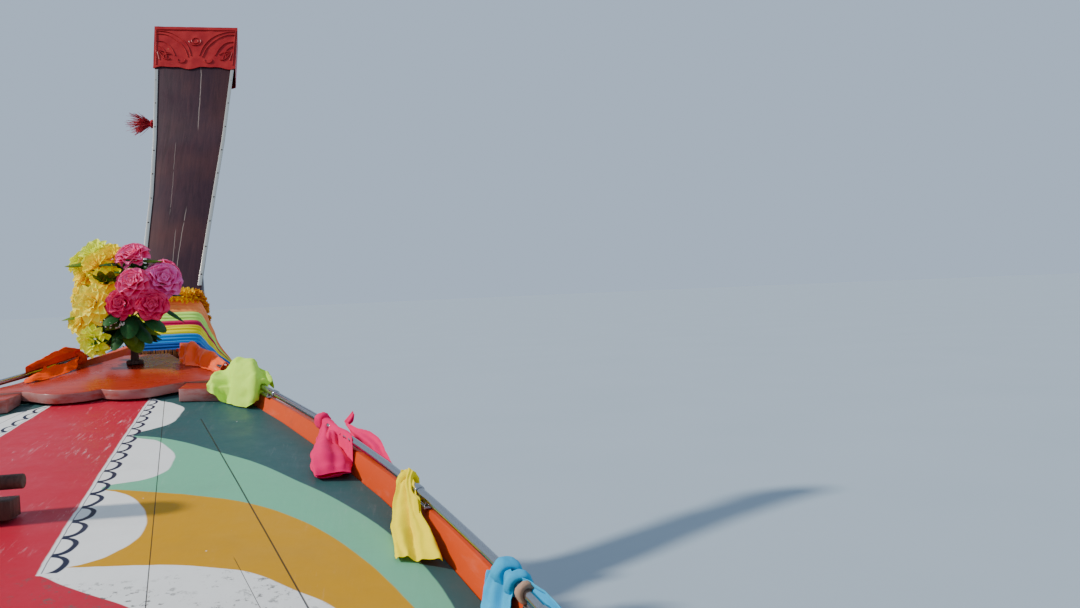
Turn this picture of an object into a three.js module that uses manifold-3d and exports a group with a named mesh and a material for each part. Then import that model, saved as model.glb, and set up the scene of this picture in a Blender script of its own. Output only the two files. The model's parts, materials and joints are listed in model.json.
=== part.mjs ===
// A wooden longtail boat: a planked open hull with a raked stem post at the bow, a painted foredeck,
// thwarts under a canopy, and an engine on a swivel at the stern that drives a propeller on a long tail.
// Millimetres. +Z is up and the waterline is Z = 0. The bow points to -Y and starboard is -X.
import * as THREE from 'three';
import { mergeVertices } from 'three/addons/utils/BufferGeometryUtils.js';
import Module from 'manifold-3d';

const wasm = await Module();
wasm.setup();

// Hull lines, on the outer face of the planking. The corner is the control point that rounds the bilge.
const hullLines = [
  { y: -4900, footZ: 890, cornerX: 92, cornerZ: 985, sheerX: 97, sheerZ: 1080 },
  { y: -4800, footZ: 800, cornerX: 98, cornerZ: 930, sheerX: 122, sheerZ: 1068 },
  { y: -4588, footZ: 567, cornerX: 135, cornerZ: 800, sheerX: 228, sheerZ: 1040 },
  { y: -4257, footZ: 298, cornerX: 215, cornerZ: 600, sheerX: 415, sheerZ: 994 },
  { y: -3790, footZ: 10, cornerX: 420, cornerZ: 250, sheerX: 642, sheerZ: 912 },
  { y: -3280, footZ: -190, cornerX: 660, cornerZ: 0, sheerX: 842, sheerZ: 819 },
  { y: -2620, footZ: -280, cornerX: 860, cornerZ: -170, sheerX: 1005, sheerZ: 712 },
  { y: -1500, footZ: -325, cornerX: 945, cornerZ: -290, sheerX: 1085, sheerZ: 615 },
  { y: 0, footZ: -335, cornerX: 965, cornerZ: -325, sheerX: 1100, sheerZ: 580 },
  { y: 1500, footZ: -320, cornerX: 950, cornerZ: -300, sheerX: 1085, sheerZ: 588 },
  { y: 3000, footZ: -235, cornerX: 870, cornerZ: -180, sheerX: 1010, sheerZ: 632 },
  { y: 4200, footZ: -120, cornerX: 740, cornerZ: -20, sheerX: 880, sheerZ: 690 },
  { y: 5200, footZ: 0, cornerX: 580, cornerZ: 140, sheerX: 700, sheerZ: 745 },
];
const stations = [
  -4900, -4800, -4700, -4588, -4420, -4257, -4020, -3790, -3530, -3280, -2950, -2620, -2300, -1900, -1500,
  -1000, -500, 0, 500, 1000, 1500, 2000, 2500, 3000, 3400, 3800, 4200, 4600, 4900, 5200,
];
const plankThickness = 26;
const strakeThickness = 34;
const strakeProud = 6;
const strakeDepth = 170;
const strakeShare = 0.35;
const bilgeSeam = 0.5;
const seamGap = 1;

// Backbone of stem and keel. y and z run down its inner face, depth is square to that face.
const backboneLines = [
  { y: -5900, z: 2418, depth: 125, half: 170, frontHalf: 150 },
  { y: -5812, z: 2225, depth: 130, half: 164, frontHalf: 142 },
  { y: -5609, z: 1875, depth: 150, half: 142, frontHalf: 118 },
  { y: -5426, z: 1623, depth: 175, half: 124, frontHalf: 102 },
  { y: -5263, z: 1423, depth: 205, half: 114, frontHalf: 90 },
  { y: -5142, z: 1256, depth: 245, half: 104, frontHalf: 80 },
  { y: -5010, z: 1110, depth: 275, half: 96, frontHalf: 70 },
  { y: -4905, z: 1000, depth: 285, half: 55, frontHalf: 50 },
  { y: -4800, z: 900, depth: 285, half: 55, frontHalf: 46 },
  { y: -4520, z: 640, depth: 265, half: 55, frontHalf: 44 },
  { y: -4200, z: 380, depth: 235, half: 55, frontHalf: 44 },
  { y: -3750, z: 100, depth: 200, half: 55, frontHalf: 46 },
  { y: -3280, z: -95, depth: 165, half: 55, frontHalf: 50 },
  { y: -2600, z: -205, depth: 140, half: 55, frontHalf: 55 },
  { y: -1500, z: -270, depth: 125, half: 55, frontHalf: 55 },
  { y: 0, z: -287, depth: 115, half: 55, frontHalf: 55 },
  { y: 1500, z: -270, depth: 115, half: 55, frontHalf: 55 },
  { y: 3000, z: -190, depth: 115, half: 55, frontHalf: 55 },
  { y: 4200, z: -75, depth: 115, half: 55, frontHalf: 55 },
  { y: 5200, z: 45, depth: 115, half: 55, frontHalf: 55 },
];
const backboneHalf = 55;
const scarfRow = 12;
const scarfGap = 1;
const transomGap = 2;
const transomThickness = 28;
const transomCrown = 40;

// Decks and the boards of the bow.
const toeHeight = 58;
const deckThickness = 24;
const deckCamber = 0.00009;
const foredeckFrom = -4700;
const foredeckTo = -2300;
const sternDeckFrom = 3400;
const sternDeckTo = 5200;
const deckLip = 46;
const boardThickness = 26;
const boardNotchY = -4275;
const boardNotchZ = 981;
const boardRise = 0.106;
const boardHalf = 200;
const boardFrontY = -4820;
const beamThickness = 30;
const beamAftY = -4215;
const beamForeY = -4305;
const pegY = -4610;
const bittY = -3455;
const bittHeight = 270;
const bittRadius = 33;
const bittPeg = { radius: 13, reach: 110, lift: 61 };
const bittFootBar = { reach: 95, half: 22, height: 33 };
const plankButts = [-1500, 1500];
const gunwaleButt = -1900;
const buttGap = 1;

// Towards the bow the gunwale's top lies this far below the sheer line: station, drop.
const gunwaleDrops = [
  [-4900, 0], [-4800, 2], [-4700, 4], [-4588, 14], [-4420, 30], [-4257, 38], [-4020, 34], [-3790, 26],
  [-3530, 19], [-3280, 16], [-2950, 10], [-2620, 8], [-2300, 6], [-1900, 3], [-1500, 0], [5200, 0],
];

// Rails, cockpit and canopy.
const railRadius = 8;
const railHeight = 14;
const railOutset = 3;
const railFrom = -4720;
const railTo = -2380;
const railPosts = [-4520, -4140, -3760, -3370, -2980, -2600];
const ribStations = [-2100, -1500, -900, -300, 300, 900, 1500, 2100, 2700, 3200];
const ribDepth = 44;
const ribHalfWidth = 20;
const ribClearance = 11;
const floorTop = -140;
const floorFrom = -1460;
const floorTo = 2020;
const floorBoardWidth = 172;
const floorBoardPitch = 180;
const floorCleats = [-1300, -300, 700, 1700];
const benchStations = [-1150, -150, 850, 1850];
const benchTop = 290;
const benchWidth = 290;
const benchThickness = 28;
const benchLegX = 400;
const canopyPosts = [-1480, -80, 1320, 2720];
const canopyEaveZ = 1990;
const canopyCrown = 210;
const canopyHalf = 960;
const canopyTubeRadius = 16;
const canopyOverhang = 70;
const canopyThickness = 12;

// Engine unit. The pivot is where the tilting cradle turns in the yoke, and the tail leaves it aft and down.
const pivot = { y: 4750, z: 1300 };
const tailAngle = THREE.MathUtils.degToRad(26);
const crankHeight = 120;
const tailStart = 140;
const tailEnd = 3700;
const tailRadius = 36;
const propellerRadius = 165;
const propellerBlades = 3;
const forkHalf = 143;
const forkThickness = 14;
const trunnionRadius = 20;

const lineRows = new THREE.CubicInterpolant(
  hullLines.map((row) => row.y),
  hullLines.flatMap((row) => [row.footZ, row.cornerX, row.cornerZ, row.sheerX, row.sheerZ]),
  5,
);

function linesAt(y) {
  const [footZ, cornerX, cornerZ, sheerX, sheerZ] = lineRows.evaluate(y);
  return { footZ, cornerX, cornerZ, sheerX, sheerZ };
}

function sectionAt(y) {
  const lines = linesAt(y);
  const rise = Math.atan2(lines.cornerZ - lines.footZ, lines.cornerX - backboneHalf);
  const footX = backboneHalf + 2 + plankThickness * Math.sin(rise);
  return new THREE.QuadraticBezierCurve(
    new THREE.Vector2(footX, lines.footZ),
    new THREE.Vector2(lines.cornerX, lines.cornerZ),
    new THREE.Vector2(lines.sheerX, lines.sheerZ),
  );
}

// A point of the port side's section, moved inboard from the outer face by inset.
function hullPoint(section, y, t, inset) {
  const point = section.getPoint(t);
  const along = section.v1.clone().sub(section.v0).lerp(section.v2.clone().sub(section.v1), t).normalize();
  return new THREE.Vector3(point.x - along.y * inset, y, point.y + along.x * inset);
}

function shareAtHeight(section, y, z, inset) {
  let low = 0;
  let high = 1;
  for (let step = 0; step < 30; step += 1) {
    const middle = (low + high) / 2;
    if (hullPoint(section, y, middle, inset).z < z) low = middle;
    else high = middle;
  }
  return (low + high) / 2;
}

function breadthAt(y, z, inset) {
  const section = sectionAt(y);
  return hullPoint(section, y, shareAtHeight(section, y, z, inset), inset).x;
}

function strakeShareAt(y) {
  const { footZ, sheerZ } = linesAt(y);
  const depth = Math.min(strakeDepth, strakeShare * (sheerZ - footZ));
  return shareAtHeight(sectionAt(y), y, sheerZ - depth, 0);
}

const dropRows = new THREE.LinearInterpolant(
  gunwaleDrops.map(([y]) => y),
  gunwaleDrops.map(([, drop]) => drop),
  1,
);

function gunwaleShareAt(y) {
  const [drop] = dropRows.evaluate(y);
  return shareAtHeight(sectionAt(y), y, linesAt(y).sheerZ - drop, 0);
}

function closedGeometry(points, index) {
  let volume = 0;
  for (let i = 0; i < index.length; i += 3) {
    const [a, b, c] = [points[index[i]], points[index[i + 1]], points[index[i + 2]]];
    volume += a.dot(b.clone().cross(c));
  }
  const geometry = new THREE.BufferGeometry().setFromPoints(points);
  geometry.setIndex(volume < 0 ? index.reverse() : index);
  geometry.computeVertexNormals();
  return geometry;
}

function capIndex(ring, offset, alongRing) {
  const normal = new THREE.Vector3();
  ring.forEach((point, i) => normal.add(point.clone().cross(ring[(i + 1) % ring.length])));
  const turn = new THREE.Quaternion().setFromUnitVectors(normal.normalize(), new THREE.Vector3(0, 0, 1));
  const flat = ring.map((point) => {
    const turned = point.clone().applyQuaternion(turn);
    return new THREE.Vector2(turned.x, turned.y);
  });
  const faces = THREE.ShapeUtils.triangulateShape(flat, []);
  const area = faces.reduce((sum, face) => sum + THREE.ShapeUtils.area(face.map((i) => flat[i])), 0);
  const keep = area > 0 === alongRing;
  return faces.flatMap(([a, b, c]) => (keep ? [a, b, c] : [c, b, a]).map((i) => i + offset));
}

// A closed body through rings that all have the same number of corners.
function loft(rings) {
  const corners = rings[0].length;
  const index = [];
  for (let r = 0; r < rings.length - 1; r += 1) {
    for (let c = 0; c < corners; c += 1) {
      const a = r * corners + c;
      const b = r * corners + ((c + 1) % corners);
      index.push(a, b, b + corners, a, b + corners, a + corners);
    }
  }
  index.push(...capIndex(rings[0], 0, false));
  index.push(...capIndex(rings[rings.length - 1], (rings.length - 1) * corners, true));
  return closedGeometry(rings.flat(), index);
}

function toSolid(geometry) {
  const loose = geometry.index ? geometry.toNonIndexed() : geometry.clone();
  loose.deleteAttribute('normal');
  loose.deleteAttribute('uv');
  const bare = mergeVertices(loose);
  return new wasm.Manifold(new wasm.Mesh({
    numProp: 3,
    vertProperties: Float32Array.from(bare.attributes.position.array),
    triVerts: Uint32Array.from(bare.index.array),
  }));
}

function toGeometry(solid) {
  const { vertProperties, triVerts } = solid.getMesh();
  const geometry = new THREE.BufferGeometry();
  geometry.setAttribute('position', new THREE.BufferAttribute(vertProperties, 3));
  geometry.setIndex(new THREE.BufferAttribute(triVerts, 1));
  geometry.computeVertexNormals();
  return geometry;
}

function join(first, ...others) {
  return toGeometry(others.reduce((solid, next) => solid.add(toSolid(next)), toSolid(first)));
}

function cut(first, ...others) {
  return toGeometry(others.reduce((solid, next) => solid.subtract(toSolid(next)), toSolid(first)));
}

function mirrored(geometry) {
  const copy = geometry.clone();
  copy.scale(-1, 1, 1);
  copy.setIndex(Array.from(copy.index.array).reverse());
  copy.computeVertexNormals();
  return copy;
}

function block(x, y, z) {
  const geometry = new THREE.BoxGeometry(x[1] - x[0], y[1] - y[0], z[1] - z[0]);
  geometry.translate((x[0] + x[1]) / 2, (y[0] + y[1]) / 2, (z[0] + z[1]) / 2);
  return geometry;
}

function rod(from, to, radius, sides = 10) {
  const start = new THREE.Vector3(...from);
  const end = new THREE.Vector3(...to);
  const geometry = new THREE.CylinderGeometry(radius, radius, start.distanceTo(end), sides);
  const along = end.clone().sub(start).normalize();
  geometry.applyQuaternion(new THREE.Quaternion().setFromUnitVectors(new THREE.Vector3(0, 1, 0), along));
  const middle = start.add(end).multiplyScalar(0.5);
  geometry.translate(middle.x, middle.y, middle.z);
  return geometry;
}

function tube(points, radius, steps, sides = 8) {
  const section = new THREE.Shape().absarc(0, 0, radius, 0, Math.PI * 2);
  const path = new THREE.CatmullRomCurve3(points.map((point) => new THREE.Vector3(...point)));
  return new THREE.ExtrudeGeometry(section, {
    extrudePath: path, steps, curveSegments: sides / 2, bevelEnabled: false,
  });
}

// A lathe body whose axis runs along +Y from the profile's first point to its last.
function turnedAlongY(profile, segments = 20) {
  const geometry = new THREE.LatheGeometry(profile.map(([r, y]) => new THREE.Vector2(r, y)), segments);
  return geometry;
}

function finish(color, roughness, metalness = 0) {
  return new THREE.MeshStandardMaterial({ color, roughness, metalness });
}

const paints = {
  hullWood: finish(0x6b3a1e, 0.45),
  keelRed: finish(0x6e2a22, 0.6),
  postWood: finish(0x4b323c, 0.6),
  capRed: finish(0xb8262e, 0.5),
  strip: finish(0xc9c4b8, 0.45, 0.8),
  gunwale: finish(0xd75523, 0.5),
  deckPaint: finish(0xb9914b, 0.6),
  board: finish(0xa8452a, 0.35),
  darkWood: finish(0x5a3325, 0.6),
  petals: finish(0xe86aa0, 0.8),
  marigold: finish(0xf0b020, 0.8),
  ribbon: finish(0x3a7cc0, 0.7),
  tassel: finish(0xc01822, 0.9),
  steel: finish(0xb8bcc0, 0.3, 1),
  innerWood: finish(0x8a5a34, 0.6),
  canvas: finish(0x2f6fb5, 0.8),
  engineGrey: finish(0x4a5a58, 0.5, 0.4),
  ironBlack: finish(0x2b2b2c, 0.6, 0.5),
  bronze: finish(0xb08a3c, 0.35, 1),
};
const clothPaints = {
  orange: finish(0xf05a28, 0.9),
  lime: finish(0xc8f06a, 0.9),
  pink: finish(0xe0307a, 0.9),
  yellow: finish(0xf2d81e, 0.9),
  blue: finish(0x4fb4dc, 0.9),
};

const boat = new THREE.Group();

function place(name, geometry, material, parent = boat) {
  const mesh = new THREE.Mesh(geometry, material);
  mesh.name = name;
  parent.add(mesh);
  return mesh;
}

function placePair(name, portGeometry, material) {
  place(`${name}_port`, portGeometry, material);
  place(`${name}_starboard`, mirrored(portGeometry), material);
}

// Planking: each panel runs from one share of the section to another, between two stations.
const wholeLength = [stations[0], stations[stations.length - 1]];
function plankPanel(lowShare, highShare, segments, [outerInset, innerInset], [from, to] = wholeLength) {
  const rings = stations.filter((y) => y >= from && y <= to).map((station) => {
    const y = station === from && from > wholeLength[0] ? station + buttGap : station;
    const section = sectionAt(y);
    const seam = seamGap / section.getLength();
    const low = lowShare(y) + seam;
    const high = highShare(y) - seam;
    const outer = [];
    const inner = [];
    for (let i = 0; i <= segments; i += 1) {
      const t = THREE.MathUtils.lerp(low, high, i / segments);
      outer.push(hullPoint(section, y, t, outerInset));
      inner.unshift(hullPoint(section, y, t, innerInset));
    }
    return [...outer, ...inner];
  });
  return loft(rings);
}

// The bottom is planked in three lengths and the gunwale in two, butted with a small gap.
const bottomLengths = {
  fore: [wholeLength[0], plankButts[0]],
  mid: plankButts,
  aft: [plankButts[1], wholeLength[1]],
};
Object.entries(bottomLengths).forEach(([name, span]) => placePair(
  `bottom_planks_${name}`,
  plankPanel(() => 0, () => bilgeSeam, 5, [0, plankThickness], span),
  paints.keelRed,
));
placePair('side_planks', plankPanel(() => bilgeSeam, strakeShareAt, 3, [0, plankThickness]), paints.hullWood);
const gunwaleLengths = { fore: [wholeLength[0], gunwaleButt], aft: [gunwaleButt, wholeLength[1]] };
Object.entries(gunwaleLengths).forEach(([name, span]) => placePair(
  `gunwale_${name}`,
  plankPanel(strakeShareAt, gunwaleShareAt, 2, [-strakeProud, strakeThickness - strakeProud], span),
  paints.gunwale,
));

// Stem and keel.
function backboneRing(row, grow = 0) {
  const here = backboneLines[row];
  const before = backboneLines[Math.max(row - 1, 0)];
  const after = backboneLines[Math.min(row + 1, backboneLines.length - 1)];
  const along = new THREE.Vector2(after.y - before.y, after.z - before.z).normalize();
  const face = new THREE.Vector2(here.y, here.z).add(new THREE.Vector2(-along.y, along.x).multiplyScalar(grow));
  const front = new THREE.Vector2(here.y, here.z)
    .sub(new THREE.Vector2(-along.y, along.x).multiplyScalar(here.depth + grow));
  return [
    new THREE.Vector3(here.half + grow, face.x, face.y),
    new THREE.Vector3(here.frontHalf + grow, front.x, front.y),
    new THREE.Vector3(-here.frontHalf - grow, front.x, front.y),
    new THREE.Vector3(-here.half - grow, face.x, face.y),
  ];
}

function backbone(fromRow, toRow, grow = 0) {
  const rings = [];
  for (let row = fromRow; row <= toRow; row += 1) rings.push(backboneRing(row, grow));
  return rings;
}

function movedRing(ring, y, z) {
  return ring.map((point) => point.clone().add(new THREE.Vector3(0, y, z)));
}

const stemRings = backbone(0, scarfRow);
const keelRings = backbone(scarfRow, backboneLines.length - 1);
keelRings[0] = movedRing(keelRings[0], scarfGap, 0);
keelRings[keelRings.length - 1].forEach((point) => { point.y = sternDeckTo; });
place('stem_post', loft(stemRings), paints.postWood);
place('keel', loft(keelRings), paints.keelRed);

// The cap is a sheet folded over the post's top, open below.
const capWall = 5;
const capGap = 1;
const capLower = 1;
const capRings = [backboneRing(0, capGap + capWall), backboneRing(capLower, capGap + capWall)];
const capInner = [backboneRing(0, capGap), backboneRing(capLower, capGap)];
const topAlong = new THREE.Vector3().subVectors(capRings[0][0], capRings[1][0]);
topAlong.x = 0;
topAlong.normalize();
capRings[0] = movedRing(capRings[0], topAlong.y * 9, topAlong.z * 9);
capInner[0] = movedRing(capInner[0], topAlong.y * 2, topAlong.z * 2);
capInner[1] = movedRing(capInner[1], -topAlong.y * 10, -topAlong.z * 10);
place('stem_cap', cut(loft(capRings), loft(capInner)), paints.capRed);

// Metal strips along both edges of the post's after face.
const stripWidth = 22;
const stripThickness = 2.5;
const stripRows = [1, 2, 3, 4, 5];
const stripRings = stripRows.map((row) => {
  const outer = backboneRing(row, 0.5 + stripThickness)[0];
  const inner = backboneRing(row, 0.5)[0];
  const edge = backboneLines[row].half - 1;
  return [
    new THREE.Vector3(edge, inner.y, inner.z),
    new THREE.Vector3(edge, outer.y, outer.z),
    new THREE.Vector3(edge - stripWidth, outer.y, outer.z),
    new THREE.Vector3(edge - stripWidth, inner.y, inner.z),
  ];
});
const capClearShare = 0.03;
stripRings[0] = stripRings[0].map((point, i) => point.clone().lerp(stripRings[1][i], capClearShare));
placePair('stem_strip', loft(stripRings), paints.strip);

// The transom closes the planking's after ends.
const sternSection = sectionAt(sternDeckTo);
const sternPoints = sternSection.getPoints(8);
const transomShape = new THREE.Shape();
transomShape.moveTo(-backboneHalf, sternPoints[0].y);
transomShape.lineTo(backboneHalf, sternPoints[0].y);
sternPoints.forEach((point) => transomShape.lineTo(point.x, point.y));
const sternTop = sternPoints[sternPoints.length - 1];
transomShape.quadraticCurveTo(0, sternTop.y + transomCrown, -sternTop.x, sternTop.y);
sternPoints.slice(0, -1).reverse().forEach((point) => transomShape.lineTo(-point.x, point.y));
const transom = new THREE.ExtrudeGeometry(transomShape, {
  depth: transomThickness, curveSegments: 6, bevelEnabled: false,
});
transom.rotateX(Math.PI / 2);
transom.translate(0, sternDeckTo + transomGap + transomThickness, 0);
place('transom', transom, paints.hullWood);

// Decks lie inside the gunwales with a light camber.
function deckZ(x, y) {
  const edgeZ = linesAt(y).sheerZ - toeHeight;
  const half = breadthAt(y, edgeZ, strakeThickness - strakeProud);
  return edgeZ + deckCamber * (half * half - x * x);
}

function deckRing(y, thickness, drop = 0) {
  const edgeZ = linesAt(y).sheerZ - toeHeight;
  const clearance = 3;
  const topHalf = breadthAt(y, edgeZ, strakeThickness - strakeProud) - clearance;
  const lowHalf = breadthAt(y, edgeZ - thickness, strakeThickness - strakeProud) - clearance;
  const top = [];
  const low = [];
  for (let i = -4; i <= 4; i += 1) {
    const x = (topHalf * i) / 4;
    top.push(new THREE.Vector3(x, y, deckZ(x, y) - drop));
    low.unshift(new THREE.Vector3((lowHalf * i) / 4, y, deckZ(x, y) - thickness));
  }
  return [...top, ...low];
}

function deck(from, to, openEnd) {
  const rows = stations.filter((y) => y >= from && y <= to);
  const plate = loft(rows.map((y) => deckRing(y, deckThickness)));
  const inward = openEnd === from ? 40 : -40;
  const lipRings = [openEnd, openEnd + inward].map((y) => {
    const ring = deckRing(y, deckThickness + deckLip, deckThickness - 4);
    return ring.map((point) => point.setX(point.x * 0.97));
  });
  return join(plate, loft(lipRings));
}

place('foredeck', deck(foredeckFrom, foredeckTo, foredeckTo), paints.deckPaint);
place('stern_deck', deck(sternDeckFrom, sternDeckTo, sternDeckFrom), paints.innerWood);

// The bow board has a cupid's-bow after edge, and is cut to the gunwales further forward.
function boardEdge(y) {
  return breadthAt(y, boardNotchZ + (boardNotchY - y) * boardRise - boardThickness, strakeThickness) - 7;
}

const boardShape = new THREE.Shape();
boardShape.moveTo(0, boardNotchY);
boardShape.bezierCurveTo(22, boardNotchY + 30, 60, boardNotchY + 36, 100, boardNotchY + 34);
boardShape.bezierCurveTo(140, boardNotchY + 30, 165, boardNotchY - 14, boardHalf, boardNotchY - 25);
boardShape.lineTo(boardHalf, beamForeY - 4);
const boardSide = [beamForeY - 4, -4420, -4588, -4700, boardFrontY];
boardSide.forEach((y) => boardShape.lineTo(boardEdge(y), y));
boardSide.slice().reverse().forEach((y) => boardShape.lineTo(-boardEdge(y), y));
boardShape.lineTo(-boardHalf, beamForeY - 4);
boardShape.lineTo(-boardHalf, boardNotchY - 25);
boardShape.bezierCurveTo(-165, boardNotchY - 14, -140, boardNotchY + 30, -100, boardNotchY + 34);
boardShape.bezierCurveTo(-60, boardNotchY + 36, -22, boardNotchY + 30, 0, boardNotchY);
const board = new THREE.ExtrudeGeometry(boardShape, {
  depth: boardThickness, curveSegments: 5, bevelEnabled: false,
});
board.translate(0, -boardNotchY, -boardThickness);
board.rotateX(-Math.atan(boardRise));
board.translate(0, boardNotchY, boardNotchZ);
place('bow_board', board, paints.board);

function beamEnd(y) {
  return breadthAt(y, deckZ(340, y) + beamThickness / 2, strakeThickness - strakeProud) - 9;
}

function beamRing(aftX, foreX) {
  return [
    new THREE.Vector3(aftX, beamAftY, deckZ(aftX, beamAftY) + 1.5),
    new THREE.Vector3(foreX, beamForeY, deckZ(foreX, beamForeY) + 1.5),
    new THREE.Vector3(foreX, beamForeY, deckZ(foreX, beamForeY) + beamThickness),
    new THREE.Vector3(aftX, beamAftY, deckZ(aftX, beamAftY) + beamThickness + 6),
  ];
}

const beamRings = [beamRing(boardHalf + 3, boardHalf + 3), beamRing(beamEnd(beamAftY), beamEnd(beamForeY))];
placePair('bow_beam', loft(beamRings), paints.board);

// The peg that holds the bouquet stands on the bow board.
const pegFoot = boardNotchZ + (boardNotchY - pegY) * boardRise + 4.2;
const pegHeight = 92;
const pegProfile = [[0, 0], [32, 0], [32, 9], [16, 18], [12, 30], [12, pegHeight], [0, pegHeight]];
const peg = turnedAlongY(pegProfile, 14);
peg.rotateX(Math.PI / 2);
peg.translate(0, pegY, pegFoot);
place('flower_peg', peg, paints.darkWood);

const bouquetCentre = { x: 28, y: pegY + 5, z: 1222 };
const bouquetHalf = { x: 172, y: 140, z: 178 };
const bouquetBall = new THREE.IcosahedronGeometry(1, 2);
bouquetBall.scale(bouquetHalf.x, bouquetHalf.y, bouquetHalf.z);
bouquetBall.translate(bouquetCentre.x, bouquetCentre.y, bouquetCentre.z);
const pegRoom = rod([0, pegY, pegFoot], [0, pegY, pegFoot + pegHeight + 1.5], 14, 12);
place('bouquet', cut(bouquetBall, pegRoom), paints.petals);

// Ribbons wound round the foot of the post: level at the after side, drawn together at the front.
function wrapRing(share) {
  const aft = { y: THREE.MathUtils.lerp(-5076, -4912, share), z: THREE.MathUtils.lerp(1208, 1016, share) };
  const front = { y: THREE.MathUtils.lerp(-5415, -5350, share), z: THREE.MathUtils.lerp(985, 870, share) };
  const outline = [[118, 0], [140, 0.3], [148, 0.6], [128, 0.9], [70, 1]];
  const port = outline.map(([x, along]) => new THREE.Vector3(
    x,
    THREE.MathUtils.lerp(aft.y, front.y, along),
    THREE.MathUtils.lerp(aft.z, front.z, along),
  ));
  const starboard = port.map((point) => new THREE.Vector3(-point.x, point.y, point.z)).reverse();
  return [...port, ...starboard];
}

const stemClear = loft(backbone(4, 8, 2));
place('ribbon_wraps', cut(loft([0, 0.5, 1].map(wrapRing)), stemClear), paints.ribbon);

// A marigold garland lies round the post, just above the ribbons.
function garlandRing(lift) {
  const aft = { y: -5052 - lift * 0.55, z: 1224 + lift * 0.835 };
  const front = { y: -5400 - lift * 0.55, z: 995 + lift * 0.835 };
  const outline = [[124, 0], [142, 0.3], [136, 0.85], [84, 1]];
  const port = outline.map(([x, along]) => new THREE.Vector3(
    x,
    THREE.MathUtils.lerp(aft.y, front.y, along),
    THREE.MathUtils.lerp(aft.z, front.z, along),
  ));
  const starboard = port.map((point) => new THREE.Vector3(-point.x, point.y, point.z)).reverse();
  return [...port, ...starboard];
}

const garlandLow = 5;
const garlandHigh = 52;
place('garland', cut(loft([garlandLow, garlandHigh].map(garlandRing)), loft(backbone(3, 7, 2))), paints.marigold);

// A frayed tassel is tied to the port side of the post.
const tassel = new THREE.IcosahedronGeometry(1, 1);
tassel.scale(62, 46, 58);
tassel.translate(218, -5735, 1960);
place('tassel', tassel, paints.tassel);

// Mooring bitt on the foredeck: a round post with a domed head, a foot bar on the deck and a peg above it.
const bittFoot = deckZ(0, bittY - bittRadius) + 1;
const bittProfile = [
  [0, 0], [bittRadius, 0], [bittRadius, bittHeight - 26], [bittRadius - 5, bittHeight - 12],
  [bittRadius - 16, bittHeight - 3], [0, bittHeight],
];
const bittPost = turnedAlongY(bittProfile, 18);
bittPost.rotateX(Math.PI / 2);
bittPost.translate(0, bittY, bittFoot);
const bittPegZ = bittFoot + bittPeg.lift;
const bitt = join(
  bittPost,
  rod([-bittPeg.reach, bittY, bittPegZ], [bittPeg.reach, bittY, bittPegZ], bittPeg.radius, 12),
  block(
    [-bittFootBar.reach, bittFootBar.reach],
    [bittY - bittFootBar.half, bittY + bittFootBar.half],
    [bittFoot, bittFoot + bittFootBar.height],
  ),
);
place('mooring_bitt', bitt, paints.darkWood);

// Bow rails: a tube close above each gunwale's inner edge, on small foot plates.
function gunwaleEdge(y) {
  return hullPoint(sectionAt(y), y, gunwaleShareAt(y), strakeThickness - strakeProud);
}

function gunwaleTop(y) {
  return gunwaleEdge(y).z;
}

function railPoint(y, height = railHeight) {
  return [gunwaleEdge(y).x + railOutset, y, gunwaleTop(y) + height];
}

const railStations = [railFrom, ...stations.filter((y) => y > railFrom && y < railTo), railTo];
const railPath = railStations.map((y) => railPoint(y));
const footHalf = { across: 12, along: 20 };
const railFeet = railPosts.map((y) => {
  const [x, , z] = railPoint(y - footHalf.along, 1);
  return block(
    [x - footHalf.across, x + footHalf.across],
    [y - footHalf.along, y + footHalf.along],
    [z, railPoint(y)[2]],
  );
});
placePair('bow_rail', join(tube(railPath, railRadius, 22), ...railFeet), paints.steel);

// Cloths tied to the rails. side is +1 to port, at is the loose part's place on plan, lift its height over the deck.
const cloths = [
  { name: 'cloth_orange_port', paint: 'orange', side: 1, at: [145, -4560], lift: 45, size: [34, 80, 28] },
  { name: 'cloth_orange_starboard', paint: 'orange', side: -1, at: [175, -4520], lift: 38, size: [44, 80, 26] },
  { name: 'cloth_lime', paint: 'lime', side: -1, at: [330, -4260], lift: 60, size: [52, 80, 26] },
  { name: 'cloth_pink', paint: 'pink', side: -1, at: [580, -3700], lift: 14, size: [38, 90, 32] },
  { name: 'cloth_yellow', paint: 'yellow', side: -1, at: [725, -3335], lift: 10, size: [34, 90, 24] },
  { name: 'cloth_blue', paint: 'blue', side: -1, at: [828, -3040], lift: 22, size: [30, 60, 34] },
];
const gunwaleRoom = plankPanel(
  (y) => strakeShareAt(y) - 0.1,
  (y) => gunwaleShareAt(y) + 0.03,
  2,
  [-strakeProud - 3, strakeThickness],
);
const boardRoom = [board, loft(beamRings)].map((piece) => {
  const room = piece.clone();
  room.translate(0, 0, 2);
  return join(piece, room);
});
const railRoom = tube(railPath, railRadius + 2, 22);
const deckRoom = loft(stations.filter((y) => y >= foredeckFrom && y <= foredeckTo).map((y) => {
  const ring = deckRing(y, deckThickness);
  return ring.map((point, i) => point.setZ(point.z + (i < ring.length / 2 ? 2 : -2)));
}));
cloths.forEach(({ name, paint, side, at: [x, y], lift, size }) => {
  const lump = new THREE.IcosahedronGeometry(1, 1);
  lump.scale(...size);
  lump.translate(x, y, deckZ(x, y) + lift);
  const clearLump = cut(lump, gunwaleRoom, railRoom, deckRoom, ...boardRoom);
  place(name, side > 0 ? clearLump : mirrored(clearLump), clothPaints[paint]);
});

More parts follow.
